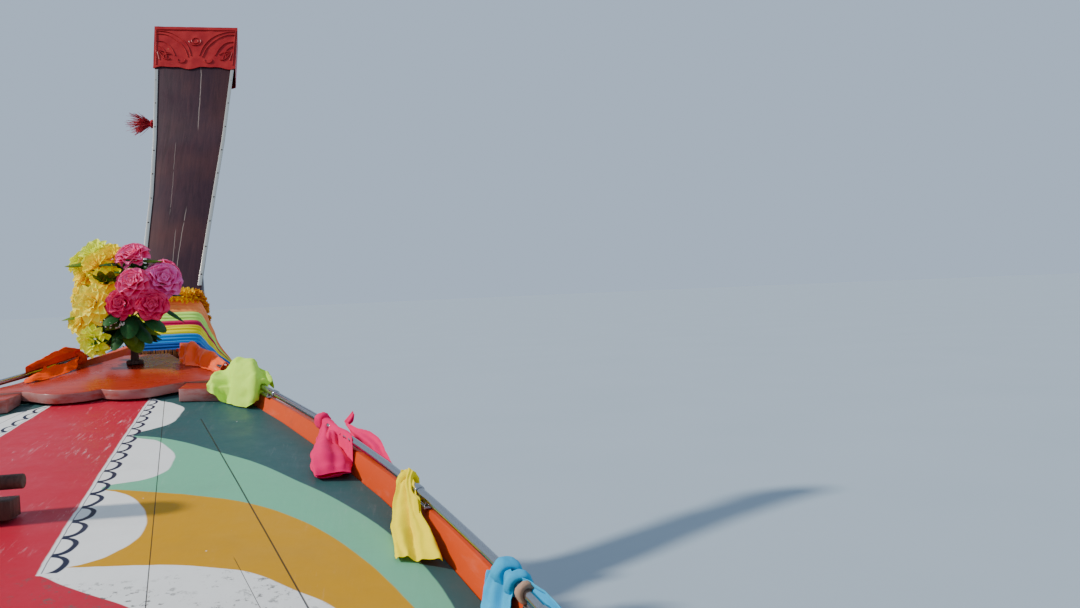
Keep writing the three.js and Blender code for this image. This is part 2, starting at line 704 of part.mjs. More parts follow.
// Ribs follow the planking inside and meet on a keelson.
function ribRing(y) {
  const section = sectionAt(y);
  const outerInset = plankThickness + ribClearance;
  const topShare = shareAtHeight(section, y, linesAt(y).sheerZ - 40, outerInset + strakeProud);
  const outer = [];
  const inner = [];
  for (let i = 0; i <= 6; i += 1) {
    const t = THREE.MathUtils.lerp(0.03, topShare, i / 6);
    outer.push(hullPoint(section, y, t, outerInset));
    inner.unshift(hullPoint(section, y, t, outerInset + ribDepth));
  }
  const mirror = (point) => new THREE.Vector3(-point.x, point.y, point.z);
  return [...outer, ...inner, ...inner.slice().reverse().map(mirror), ...outer.slice().reverse().map(mirror)];
}

function rib(y) {
  const ring = ribRing(y);
  return loft([ring.map((p) => p.clone().setY(y - ribHalfWidth)), ring.map((p) => p.clone().setY(y + ribHalfWidth))]);
}

function keelTopAt(y) {
  const after = backboneLines.findIndex((row) => row.y >= y);
  const [fore, aft] = [backboneLines[after - 1], backboneLines[after]];
  return THREE.MathUtils.mapLinear(y, fore.y, aft.y, fore.z, aft.z);
}

const keelsonHeight = 50;
const keelsonHalf = 45;
const keelsonRows = backboneLines.map((row) => row.y).filter((y) => y > ribStations[0] && y < ribStations[9]);
keelsonRows.unshift(ribStations[0] - 60);
keelsonRows.push(ribStations[ribStations.length - 1] + 60);
const keelson = loft(keelsonRows.map((y) => {
  const low = keelTopAt(y) + 3;
  return [
    new THREE.Vector3(-keelsonHalf, y, low), new THREE.Vector3(keelsonHalf, y, low),
    new THREE.Vector3(keelsonHalf, y, low + keelsonHeight), new THREE.Vector3(-keelsonHalf, y, low + keelsonHeight),
  ];
}));
const keelRoom = loft(backbone(scarfRow, backboneLines.length - 1, 2));
place('hull_frames', cut(join(keelson, ...ribStations.map(rib)), keelRoom), paints.innerWood);

// Floorboards on cleats.
const floorBoards = [-2, -1, 0, 1, 2].map((i) => block(
  [i * floorBoardPitch - floorBoardWidth / 2, i * floorBoardPitch + floorBoardWidth / 2],
  [floorFrom, floorTo],
  [floorTop - 20, floorTop],
));
const cleats = floorCleats.map((y) => block([-412, 412], [y - 25, y + 25], [floorTop - 48, floorTop - 18]));
place('floorboards', join(...floorBoards, ...cleats), paints.innerWood);

// Thwarts: a seat board across the hull on two leg boards that stand on the floor.
benchStations.forEach((y, i) => {
  const room = [y - benchWidth / 2, y + benchWidth / 2]
    .map((edge) => breadthAt(edge, benchTop - benchThickness - 4, plankThickness + ribClearance + ribDepth));
  const half = Math.min(...room) - 8;
  const seat = block([-half, half], [y - benchWidth / 2, y + benchWidth / 2], [benchTop - benchThickness, benchTop]);
  const legs = [-1, 1].map((side) => block(
    [side * benchLegX - 14, side * benchLegX + 14],
    [y - 110, y + 110],
    [floorTop + 1, benchTop - 20],
  ));
  const rail = block([-benchLegX, benchLegX], [y - 14, y + 14], [benchTop - 110, benchTop - 20]);
  place(`bench_${i + 1}`, join(seat, ...legs, rail), paints.innerWood);
});

// Canopy frame: posts on the gunwales, side rails and arched bows.
function archZ(x) {
  return canopyEaveZ + canopyCrown * (1 - (x / canopyHalf) ** 2);
}

function canopyBow(y) {
  const path = [-1, -0.66, -0.33, 0, 0.33, 0.66, 1].map((share) => [share * canopyHalf, y, archZ(share * canopyHalf)]);
  return tube(path, canopyTubeRadius * 0.8, 10, 6);
}

const canopyEnds = [canopyPosts[0], canopyPosts[canopyPosts.length - 1]];
const canopyBows = [canopyPosts[0], -780, canopyPosts[1], 620, canopyPosts[2], 2020, canopyPosts[3]];
const framePieces = [1, -1].flatMap((side) => [
  rod([side * canopyHalf, canopyEnds[0], canopyEaveZ], [side * canopyHalf, canopyEnds[1], canopyEaveZ], canopyTubeRadius),
  ...canopyPosts.flatMap((y) => {
    const { sheerX } = linesAt(y);
    const footZ = Math.max(gunwaleTop(y - 36), gunwaleTop(y + 36)) + 1;
    const foot = [side * (sheerX - 18), y, footZ + 2];
    return [
      rod(foot, [side * canopyHalf, y, canopyEaveZ], canopyTubeRadius),
      block([foot[0] - 24, foot[0] + 24], [y - 36, y + 36], [footZ, footZ + 6]),
    ];
  }),
]);
place('canopy_frame', join(...framePieces, ...canopyBows.map(canopyBow)), paints.steel);

// Canopy cloth, as one arched sheet with turned-down edges.
const roofHalf = canopyHalf + 48;
const roofLift = canopyTubeRadius + 7;
function roofRing(y) {
  const top = [];
  const low = [];
  for (let i = -8; i <= 8; i += 1) {
    const x = (roofHalf * i) / 8;
    const z = archZ(Math.min(Math.abs(x), canopyHalf)) + roofLift;
    top.push(new THREE.Vector3(x, y, z + canopyThickness));
    low.unshift(new THREE.Vector3(x * (roofHalf - canopyThickness) / roofHalf, y, z));
  }
  const drop = 90;
  top.unshift(new THREE.Vector3(-roofHalf, y, canopyEaveZ - drop));
  top.push(new THREE.Vector3(roofHalf, y, canopyEaveZ - drop));
  low.unshift(new THREE.Vector3(roofHalf - canopyThickness, y, canopyEaveZ - drop));
  low.push(new THREE.Vector3(-roofHalf + canopyThickness, y, canopyEaveZ - drop));
  return [...top, ...low];
}

const roofRows = [canopyEnds[0] - canopyOverhang, canopyEnds[1] + canopyOverhang];
place('canopy_roof', loft(roofRows.map(roofRing)), paints.canvas);

// Engine post: a timber block on the stern deck, and a fixed swivel base on it.
const postFoot = deckZ(0, pivot.y + 150) + 1;
const postTop = 960;
const swivelTop = 1100;
place('engine_post', block([-160, 160], [pivot.y - 160, pivot.y + 160], [postFoot, postTop]), paints.darkWood);
const swivelProfile = [[0, postTop + 0.5], [110, postTop + 0.5], [110, postTop + 14], [62, postTop + 14],
  [62, swivelTop], [0, swivelTop]];
const swivel = turnedAlongY(swivelProfile);
swivel.rotateX(Math.PI / 2);
swivel.translate(0, pivot.y, 0);
place('swivel_base', swivel, paints.ironBlack);

// Yoke: turns on the swivel base and carries the cradle between its two arms.
const yokePlate = 24;
const forkTop = pivot.z + 42;
const yokeFoot = swivelTop + 2;
const yokeBase = turnedAlongY([[0, yokeFoot], [74, yokeFoot], [74, yokeFoot + 20], [0, yokeFoot + 20]]);
yokeBase.rotateX(Math.PI / 2);
yokeBase.translate(0, pivot.y, 0);
const yokeArms = [-1, 1].map((side) => block(
  side > 0 ? [forkHalf, forkHalf + forkThickness] : [-forkHalf - forkThickness, -forkHalf],
  [pivot.y - 46, pivot.y + 46],
  [yokeFoot + 14, forkTop],
));
const yokeBridge = block(
  [-forkHalf - forkThickness, forkHalf + forkThickness],
  [pivot.y - 46, pivot.y + 46],
  [yokeFoot + 14, yokeFoot + 14 + yokePlate],
);
const trunnionRoom = rod([-200, pivot.y, pivot.z], [200, pivot.y, pivot.z], trunnionRadius + 1.5, 20);
place('engine_yoke', cut(join(yokeBase, yokeBridge, ...yokeArms), trunnionRoom), paints.ironBlack);

// Everything from here is built round the pivot, with +Y aft along the tail, and tilted down as one group.
const tailUnit = new THREE.Group();
tailUnit.position.set(0, pivot.y, pivot.z);
tailUnit.rotation.x = -tailAngle;
boat.add(tailUnit);

const cradleRail = { inner: 98, outer: 134, half: 28, from: -900, to: 330 };
const cradleRails = [-1, 1].map((side) => block(
  side > 0 ? [cradleRail.inner, cradleRail.outer] : [-cradleRail.outer, -cradleRail.inner],
  [cradleRail.from, cradleRail.to],
  [-cradleRail.half, cradleRail.half],
));
const cradleFront = block([-cradleRail.outer, cradleRail.outer], [-900, -860], [-cradleRail.half, cradleRail.half]);
const cradleBack = block([-cradleRail.outer, cradleRail.outer], [290, 330], [-cradleRail.half, crankHeight + 58]);
const trunnions = rod([-170, 0, 0], [170, 0, 0], trunnionRadius, 20);
const betweenRails = block([-cradleRail.inner + 2, cradleRail.inner - 2], [-60, 60], [-60, 60]);
const tailRoom = rod([0, 200, crankHeight], [0, 420, crankHeight], tailRadius + 1, 20);
const cradle = cut(
  join(cradleFront, cradleBack, ...cradleRails, cut(trunnions, betweenRails)),
  tailRoom,
);
place('engine_cradle', cradle, paints.ironBlack, tailUnit);

// Engine block with its sump, side ribs and feet on the cradle rails.
const blockHalf = 88;
const blockFrom = -800;
const blockTo = -335;
const blockRibs = [-740, -650, -560, -470, -385].flatMap((y) => [-1, 1].map((side) => block(
  side > 0 ? [blockHalf - 2, blockHalf + 8] : [-blockHalf - 8, -blockHalf + 2],
  [y - 9, y + 9],
  [60, 230],
)));
const engineFeet = [-740, -400].map((y) => block([-126, 126], [y - 30, y + 30], [cradleRail.half + 2, cradleRail.half + 18]));
const engineBlock = join(
  block([-blockHalf, blockHalf], [blockFrom, blockTo], [10, 262]),
  block([-72, 72], [-770, -420], [-104, 12]),
  ...blockRibs,
  ...engineFeet,
);
place('engine_block', engineBlock, paints.engineGrey, tailUnit);

const rockerShape = new THREE.Shape();
rockerShape.moveTo(-76, 264);
rockerShape.lineTo(76, 264);
rockerShape.lineTo(76, 318);
rockerShape.quadraticCurveTo(70, 372, 30, 378);
rockerShape.lineTo(-30, 378);
rockerShape.quadraticCurveTo(-70, 372, -76, 318);
rockerShape.closePath();
const cylinderHead = new THREE.ExtrudeGeometry(rockerShape, { depth: 440, curveSegments: 4, bevelEnabled: false });
cylinderHead.rotateX(Math.PI / 2);
cylinderHead.translate(0, -345, 0);
place('cylinder_head', cylinderHead, paints.engineGrey, tailUnit);

const bellProfile = [[0, -333], [126, -333], [126, -300], [104, -200], [78, -120], [70, 40], [58, 60],
  [58, tailStart - 1], [0, tailStart - 1]];
const bellHousing = turnedAlongY(bellProfile, 24);
bellHousing.translate(0, 0, crankHeight);
place('bell_housing', bellHousing, paints.ironBlack, tailUnit);

// Exhaust: a manifold on the starboard side and an upright pipe.
const exhaust = join(
  block([-150, -104], [-760, -380], [196, 250]),
  ...[-700, -600, -500, -420].map((y) => rod([-110, y, 224], [-98, y, 224], 18, 8)),
  tube([[-128, -440, 230], [-150, -440, 330], [-158, -500, 470], [-158, -570, 620], [-158, -640, 770]], 25, 10, 10),
);
place('exhaust_pipe', exhaust, paints.ironBlack, tailUnit);

const airProfile = [[0, 380], [26, 380], [26, 402], [88, 406], [88, 482], [70, 494], [0, 494]];
const airCleaner = turnedAlongY(airProfile, 18);
airCleaner.rotateX(Math.PI / 2);
airCleaner.translate(8, -600, 0);
place('air_cleaner', airCleaner, paints.ironBlack, tailUnit);

// Belt drive at the front of the engine: crank pulley, alternator and the belt round both.
const pulleyY = -838;
const alternatorAt = { x: 120, z: 262 };
const beltOuter = new THREE.Shape();
const beltAngle = Math.atan2(alternatorAt.z - crankHeight, alternatorAt.x);
const beltLength = Math.hypot(alternatorAt.z - crankHeight, alternatorAt.x);
beltOuter.absarc(0, 0, 66, Math.PI / 2, -Math.PI / 2, false);
beltOuter.absarc(beltLength, 0, 36, -Math.PI / 2, Math.PI / 2, false);
const beltBand = new THREE.ExtrudeGeometry(beltOuter, { depth: 16, curveSegments: 8, bevelEnabled: false });
beltBand.rotateZ(beltAngle);
beltBand.rotateX(Math.PI / 2);
beltBand.translate(0, pulleyY + 8, crankHeight);
const beltDrive = join(
  rod([0, pulleyY - 16, crankHeight], [0, blockFrom - 2, crankHeight], 70, 20),
  rod([alternatorAt.x, pulleyY - 14, alternatorAt.z], [alternatorAt.x, pulleyY + 14, alternatorAt.z], 40, 16),
  rod([alternatorAt.x, pulleyY, alternatorAt.z], [alternatorAt.x, -690, alternatorAt.z], 22, 16),
  rod([alternatorAt.x + 28, pulleyY + 22, alternatorAt.z], [alternatorAt.x + 28, -690, alternatorAt.z], 50, 16),
  beltBand,
);
place('belt_drive', beltDrive, paints.ironBlack, tailUnit);

// Tiller: a pipe from the cradle's front, forward and down to the helmsman's hand.
const tiller = join(
  tube([[0, -908, -4], [0, -980, -14], [0, -1060, -70], [0, -1240, -205], [0, -1420, -325], [0, -1560, -410]], 17, 12, 8),
  rod([0, -1500, -374], [0, -1640, -458], 23, 10),
  block([-60, 60], [-916, -902], [-26, 26]),
);
place('tiller', tiller, paints.steel, tailUnit);

// Tail: the shaft's tube with its front flange, a stay over it and a skeg before the propeller.
const skegThickness = 8;
const skegShape = new THREE.Shape();
skegShape.moveTo(3380, -30);
skegShape.lineTo(3690, -30);
skegShape.lineTo(3690, -150);
skegShape.quadraticCurveTo(3560, -120, 3380, -30);
const skeg = new THREE.ExtrudeGeometry(skegShape, {
  depth: skegThickness, curveSegments: 6, bevelEnabled: false,
});
skeg.rotateX(Math.PI / 2);
skeg.rotateZ(Math.PI / 2);
skeg.translate(-skegThickness / 2, 0, crankHeight);
const tail = join(
  rod([0, tailStart, crankHeight], [0, tailEnd, crankHeight], tailRadius, 16),
  rod([0, tailStart, crankHeight], [0, tailStart + 22, crankHeight], 62, 16),
  rod([0, 1100, crankHeight - 8], [0, 1140, crankHeight + 150], 14, 8),
  rod([0, 360, crankHeight + 18], [0, 1140, crankHeight + 150], 9, 8),
  rod([0, 1140, crankHeight + 150], [0, 2500, crankHeight + 22], 9, 8),
  rod([0, tailEnd - 90, crankHeight], [0, tailEnd, crankHeight], tailRadius + 10, 16),
  skeg,
);
place('tail_shaft', tail, paints.steel, tailUnit);

// Propeller: a hub on the shaft's end with twisted blades.
const bladeRows = [
  { r: 20, chord: 60, turn: 58, thick: 12 },
  { r: 70, chord: 96, turn: 42, thick: 9 },
  { r: 120, chord: 96, turn: 30, thick: 6 },
  { r: propellerRadius - 5, chord: 46, turn: 24, thick: 4 },
];
function blade(angle) {
  const rings = bladeRows.map(({ r, chord, turn, thick }) => {
    const twist = THREE.MathUtils.degToRad(turn);
    return [[-0.5, 0], [0, -0.5], [0.5, 0], [0, 0.5]].map(([along, across]) => {
      const u = along * chord;
      const v = across * thick;
      return new THREE.Vector3(
        u * Math.cos(twist) - v * Math.sin(twist),
        u * Math.sin(twist) + v * Math.cos(twist),
        r,
      );
    });
  });
  const geometry = loft(rings);
  geometry.rotateY(angle);
  return geometry;
}
const hubFrom = tailEnd + 10;
const hubProfile = [[0, -4], [36, -4], [36, 40], [34, 96], [18, 128], [0, 136]];
const propeller = join(
  turnedAlongY(hubProfile, 18),
  ...Array.from({ length: propellerBlades }, (_, i) => {
    const geometry = blade((i * Math.PI * 2) / propellerBlades);
    geometry.translate(0, 46, 0);
    return geometry;
  }),
);
const propellerMesh = place('propeller', propeller, paints.bronze, tailUnit);
propellerMesh.position.set(0, hubFrom, crankHeight);

export default boat;
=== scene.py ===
import json
import math
import random

import bmesh
import bpy
from mathutils import Matrix, Vector, noise
from mathutils.bvhtree import BVHTree


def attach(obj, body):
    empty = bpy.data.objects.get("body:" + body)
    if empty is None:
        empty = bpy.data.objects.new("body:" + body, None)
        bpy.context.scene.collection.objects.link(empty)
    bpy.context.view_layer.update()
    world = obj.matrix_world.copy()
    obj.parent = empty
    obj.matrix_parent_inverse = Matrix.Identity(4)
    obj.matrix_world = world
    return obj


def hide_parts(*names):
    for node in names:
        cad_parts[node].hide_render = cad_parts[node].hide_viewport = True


noise.seed_set(1)  # vector noise is seeded from the clock otherwise
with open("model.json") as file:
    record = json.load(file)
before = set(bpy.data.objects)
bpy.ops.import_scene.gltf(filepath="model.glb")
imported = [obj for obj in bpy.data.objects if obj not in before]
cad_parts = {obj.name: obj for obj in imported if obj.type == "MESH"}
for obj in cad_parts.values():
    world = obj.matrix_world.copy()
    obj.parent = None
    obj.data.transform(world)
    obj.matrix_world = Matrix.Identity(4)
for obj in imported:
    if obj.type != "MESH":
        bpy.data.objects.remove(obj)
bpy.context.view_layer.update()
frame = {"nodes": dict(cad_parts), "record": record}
nodes = frame["nodes"]
bodyOfNode = {n: body for body, names in frame["record"]["behaviour"]["bodies"].items() for n in names}
slotOfNode = {row["node"]: row["material_slot"] for row in frame["record"]["subparts"]}
print("frame loaded:", len(nodes), "nodes")


fullTurn = 6.28
quarterTurn = 1.57
upward = Vector((0, 0, 1))


def deselectAll():
    if bpy.context.mode != "OBJECT":
        bpy.ops.object.mode_set(mode="OBJECT")
    bpy.ops.object.select_all(action="DESELECT")


def makeActive(piece):
    deselectAll()
    piece.select_set(True)
    bpy.context.view_layer.objects.active = piece


def newest(name):
    piece = bpy.context.active_object
    piece.name = name
    piece.data.name = name
    return piece


def startEdit(piece, kind="VERT"):
    makeActive(piece)
    bpy.ops.object.mode_set(mode="EDIT")
    bpy.ops.mesh.select_mode(type=kind)
    bpy.ops.mesh.select_all(action="DESELECT")


def endEdit():
    bpy.ops.object.mode_set(mode="OBJECT")


def pickFaces(piece, test):
    work = bmesh.from_edit_mesh(piece.data)
    for face in work.faces:
        face.select_set(bool(test(face.calc_center_median(), face.normal)))
    bmesh.update_edit_mesh(piece.data)


def pickEdges(piece, test):
    work = bmesh.from_edit_mesh(piece.data)
    for edge in work.edges:
        edge.select_set(bool(test(edge.verts[0].co, edge.verts[1].co)))
    bmesh.update_edit_mesh(piece.data)


def addModifier(piece, kind, **settings):
    modifier = piece.modifiers.new(kind.title(), kind)
    for key, value in settings.items():
        setattr(modifier, key, value)
    return modifier


def applyModifiers(piece):
    makeActive(piece)
    for modifier in list(piece.modifiers):
        bpy.ops.object.modifier_apply(modifier=modifier.name)
    return piece


def smoothByAngle(piece, degrees=35):
    makeActive(piece)
    bpy.ops.object.shade_smooth_by_angle(angle=math.radians(degrees))
    return piece


def mergeDoubles(piece, distance=0.00002, outward=True):
    startEdit(piece)
    bpy.ops.mesh.select_all(action="SELECT")
    bpy.ops.mesh.remove_doubles(threshold=distance)
    if outward:
        bpy.ops.mesh.normals_make_consistent(inside=False)
    endEdit()
    return piece


def joinPieces(name, parts):
    deselectAll()
    for part in parts:
        part.select_set(True)
    bpy.context.view_layer.objects.active = parts[0]
    if len(parts) > 1:
        bpy.ops.object.join()
    return newest(name)


def copyOf(piece, name, matrix=None):
    twin = piece.copy()
    twin.data = piece.data.copy()
    twin.name = name
    bpy.context.scene.collection.objects.link(twin)
    if matrix is not None:
        twin.data.transform(matrix)
    return twin


def discard(*pieces):
    for piece in pieces:
        bpy.data.objects.remove(piece)


def roundedDisc(name, vertices, radius, depth, offset, segments, bothEnds=False):
    # a low cylinder with its upper rim rounded, or both rims
    deselectAll()
    bpy.ops.mesh.primitive_cylinder_add(vertices=vertices, radius=radius, depth=depth)
    piece = newest(name)
    startEdit(piece, "EDGE")
    if bothEnds:
        pickEdges(piece, lambda a, b: abs(a.z - b.z) < 0.001)
    else:
        pickEdges(piece, lambda a, b: a.z > 0.001 and b.z > 0.001)
    bpy.ops.mesh.bevel(offset=offset, segments=segments)
    endEdit()
    return piece


def setMaterial(piece, material):
    piece.data.materials.clear()
    piece.data.materials.append(material)
    return piece


def finishPiece(piece, material, body="hull", replaces=()):
    if material is not None:
        setMaterial(piece, material)
    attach(piece, body)
    if replaces:
        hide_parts(*replaces)
    return piece


def gridSheet(name, across, along, place, closed=False):
    deselectAll()
    bpy.ops.mesh.primitive_grid_add(x_subdivisions=across, y_subdivisions=along, size=2, calc_uvs=True)
    piece = newest(name)
    for vertex in piece.data.vertices:
        vertex.co = place((vertex.co.x + 1) / 2, (vertex.co.y + 1) / 2)
    piece.data.update()
    return mergeDoubles(piece, 0.00001, False) if closed else piece


def thicken(piece, thickness, levels=0):
    addModifier(piece, "SOLIDIFY", thickness=thickness, offset=0, use_even_offset=False)
    if levels:
        addModifier(piece, "SUBSURF", levels=levels, render_levels=levels)
    return applyModifiers(piece)


def tubeAlong(name, points, radius, resolution=2, radii=None, knots=6):
    deselectAll()
    bpy.ops.curve.primitive_bezier_curve_add(location=(0, 0, 0))
    run = bpy.context.active_object
    curve = run.data
    curve.splines.clear()
    curve.dimensions = "3D"
    curve.bevel_depth = radius
    curve.bevel_resolution = resolution
    curve.use_fill_caps = True
    spline = curve.splines.new("BEZIER")
    spline.bezier_points.add(len(points) - 1)
    spline.resolution_u = knots
    for knot, point, width in zip(spline.bezier_points, points, radii or [1.0] * len(points)):
        knot.co = point
        knot.radius = width
        knot.handle_left_type = knot.handle_right_type = "AUTO"
    makeActive(run)
    bpy.ops.object.convert(target="MESH")
    piece = mergeDoubles(newest(name))
    return smoothByAngle(piece, 50)


def lerp(a, b, t):
    return a + (b - a) * t


def clamp(x, low=0.0, high=1.0):
    return max(low, min(high, x))


def ease(t):
    t = clamp(t)
    return t * t * (3 - 2 * t)


def alongTable(table, x, smooth=True):
    if x <= table[0][0]:
        return table[0][1]
    for (x0, y0), (x1, y1) in zip(table, table[1:]):
        if x <= x1:
            share = (x - x0) / (x1 - x0)
            return lerp(y0, y1, ease(share) if smooth else share)
    return table[-1][1]


def onPath(path, t):
    t = clamp(t) * (len(path) - 1)
    i = min(int(t), len(path) - 2)
    a, b = path[i], path[i + 1]
    before, after = path[max(i - 1, 0)], path[min(i + 2, len(path) - 1)]
    s = t - i
    return 0.5 * ((2 * a) + (b - before) * s + (2 * before - 5 * a + 4 * b - after) * s * s
                  + (3 * a - before - 3 * b + after) * s * s * s)


def pathDirection(path, t):
    return (onPath(path, t + 0.01) - onPath(path, t - 0.01)).normalized()


def facing(direction, at, spin=0.0):
    turn = Vector(direction).to_track_quat("Z", "Y").to_matrix().to_4x4()
    return Matrix.Translation(at) @ turn @ Matrix.Rotation(spin, 4, "Z")


class Finish:
    def __init__(self, name, roughness=0.5, metallic=0.0):
        self.material = bpy.data.materials.new(name)
        self.material.use_nodes = True
        self.tree = self.material.node_tree
        self.shader = self.tree.nodes["Principled BSDF"]
        self.shader.inputs["Roughness"].default_value = roughness
        self.shader.inputs["Metallic"].default_value = metallic
        self.shader.inputs["Specular IOR Level"].default_value = 0.15
        places = self.node("ShaderNodeTexCoord")
        self.place = places.outputs["Object"]
        self.flat = places.outputs["UV"]
        self.parts = None

    def node(self, kind, **settings):
        made = self.tree.nodes.new(kind)
        for key, value in settings.items():
            setattr(made, key, value)
        return made

    def feed(self, socket, value):
        if isinstance(value, bpy.types.NodeSocket):
            self.tree.links.new(value, socket)
        elif value is not None:
            socket.default_value = value

    def math(self, operation, a, b=None, c=None):
        made = self.node("ShaderNodeMath", operation=operation)
        for socket, value in zip(made.inputs, (a, b, c)):
            self.feed(socket, value)
        return made.outputs[0]

    def times(self, a, b):
        return self.math("MULTIPLY", a, b)

    def opposite(self, a):
        return self.math("SUBTRACT", 1.0, a)

    def strongest(self, masks):
        result = masks[0]
        for other in masks[1:]:
            result = self.math("MAXIMUM", result, other)
        return result

    def facingUp(self):
        made = self.node("ShaderNodeSeparateXYZ")
        self.feed(made.inputs[0], self.node("ShaderNodeNewGeometry").outputs["Normal"])
        return made.outputs[2]

    def split(self):
        if self.parts is None:
            made = self.node("ShaderNodeSeparateXYZ")
            self.feed(made.inputs[0], self.place)
            self.parts = made.outputs
        return self.parts

    def splitFlat(self):
        made = self.node("ShaderNodeSeparateXYZ")
        self.feed(made.inputs[0], self.flat)
        return made.outputs

    def step(self, value, edge, soft=0.002):
        made = self.node("ShaderNodeMapRange", interpolation_type="SMOOTHSTEP")
        self.feed(made.inputs["Value"], self.math("SUBTRACT", value, edge))
        made.inputs["From Min"].default_value = -soft
        made.inputs["From Max"].default_value = soft
        return made.outputs[0]

    def stretched(self, scale, source=None):
        made = self.node("ShaderNodeMapping")
        self.feed(made.inputs["Vector"], source or self.place)
        made.inputs["Scale"].default_value = scale
        return made.outputs[0]

    def noise(self, scale, detail=4.0, roughness=0.55, stretch=None, distortion=0.0):
        made = self.node("ShaderNodeTexNoise")
        self.feed(made.inputs["Vector"], self.stretched(stretch) if stretch else self.place)
        made.inputs["Scale"].default_value = scale
        made.inputs["Detail"].default_value = detail
        made.inputs["Roughness"].default_value = roughness
        made.inputs["Distortion"].default_value = distortion
        return made.outputs["Fac"]

    def cells(self, scale):
        made = self.node("ShaderNodeTexVoronoi")
        self.feed(made.inputs["Vector"], self.place)
        made.inputs["Scale"].default_value = scale
        return made.outputs["Distance"]

    def waves(self, scale, direction, source=None):
        made = self.node("ShaderNodeTexWave", bands_direction=direction)
        self.feed(made.inputs["Vector"], source or self.place)
        made.inputs["Scale"].default_value = scale
        return made.outputs["Fac"]

    def ramp(self, value, stops):
        made = self.node("ShaderNodeValToRGB")
        elements = made.color_ramp.elements
        while len(elements) < len(stops):
            elements.new(0.5)
        for element, (position, color) in zip(elements, stops):
            element.position = position
            element.color = (*color, 1)
        self.feed(made.inputs[0], value)
        return made.outputs[0]

    def mask(self, value, low, high):
        made = self.node("ShaderNodeMapRange")
        self.feed(made.inputs["Value"], value)
        made.inputs["From Min"].default_value = low
        made.inputs["From Max"].default_value = high
        return made.outputs[0]

    def mix(self, factor, a, b, blend="MIX"):
        made = self.node("ShaderNodeMix", data_type="RGBA", blend_type=blend)
        self.feed(made.inputs["Factor"], factor)
        for socket, value in ((made.inputs[6], a), (made.inputs[7], b)):
            if isinstance(value, tuple) and len(value) == 3:
                value = (*value, 1)
            self.feed(socket, value)
        return made.outputs[2]

    def curve(self, value, points, low, high):
        # height of a drawn line over positions from low to high, heights up to 1 m
        made = self.node("ShaderNodeFloatCurve")
        made.mapping.use_clip = False
        drawn = made.mapping.curves[0].points
        while len(drawn) < len(points):
            drawn.new(0.5, 0.5)
        for knot, (position, height) in zip(drawn, points):
            knot.location = ((position - low) / (high - low), height)
            knot.handle_type = "AUTO_CLAMPED"
        made.mapping.update()
        self.feed(made.inputs["Value"], self.mask(value, low, high))
        return made.outputs[0]

    def color(self, value):
        self.feed(self.shader.inputs["Base Color"], (*value, 1) if isinstance(value, tuple) else value)
        return self

    def rough(self, value):
        self.feed(self.shader.inputs["Roughness"], value)
        return self

    def set(self, **sockets):
        for name, value in sockets.items():
            self.shader.inputs[name.replace("_", " ")].default_value = value
        return self

    def bump(self, height, strength=0.3, distance=0.001):
        made = self.node("ShaderNodeBump")
        made.inputs["Strength"].default_value = strength
        made.inputs["Distance"].default_value = distance
        self.feed(made.inputs["Height"], height)
        previous = self.shader.inputs["Normal"]
        if previous.is_linked:
            self.feed(made.inputs["Normal"], previous.links[0].from_socket)
        self.feed(previous, made.outputs[0])
        return self


def tint(color, factor):
    return tuple(min(1.0, c * factor) for c in color)


def boardSeams(f, base, dark, seams):
    axis, pitch, width = seams
    line = f.mask(f.math("PINGPONG", f.split()["XYZ".index(axis)], pitch / 2), 0.0, width)
    f.bump(line, 0.6, 0.004)
    return f.mix(line, dark, base)


def bareWood(name, dark, light, grainStretch=(14, 1.2, 14), roughness=0.55, coat=0.0, seams=None, wear=0.25):
    f = Finish(name, roughness)
    grain = f.noise(6, 8, 0.6, grainStretch, 0.8)
    fine = f.noise(30, 6, 0.7, grainStretch)
    middle = tuple(lerp(a, b, 0.5) for a, b in zip(dark, light))
    base = f.ramp(grain, [(0.25, dark), (0.55, middle), (0.85, light)])
    base = f.mix(f.times(f.mask(f.noise(2.2, 5, 0.6, (1, 0.4, 1.6)), 0.40, 0.75), 0.6), base, dark)
    scuffs = f.mask(f.noise(26, 10, 0.75, (1, 0.25, 1)), 0.66, 0.72)
    base = f.mix(f.times(scuffs, wear), base, tint(light, 1.6))
    if seams:
        base = boardSeams(f, base, tint(dark, 0.18), seams)
    f.color(base)
    f.rough(f.mask(fine, -0.6 + roughness * 0.4, 1.4))
    f.bump(f.math("ADD", f.times(grain, 0.7), fine), 0.25, 0.0012)
    return f.set(Coat_Weight=coat, Coat_Roughness=0.2).material


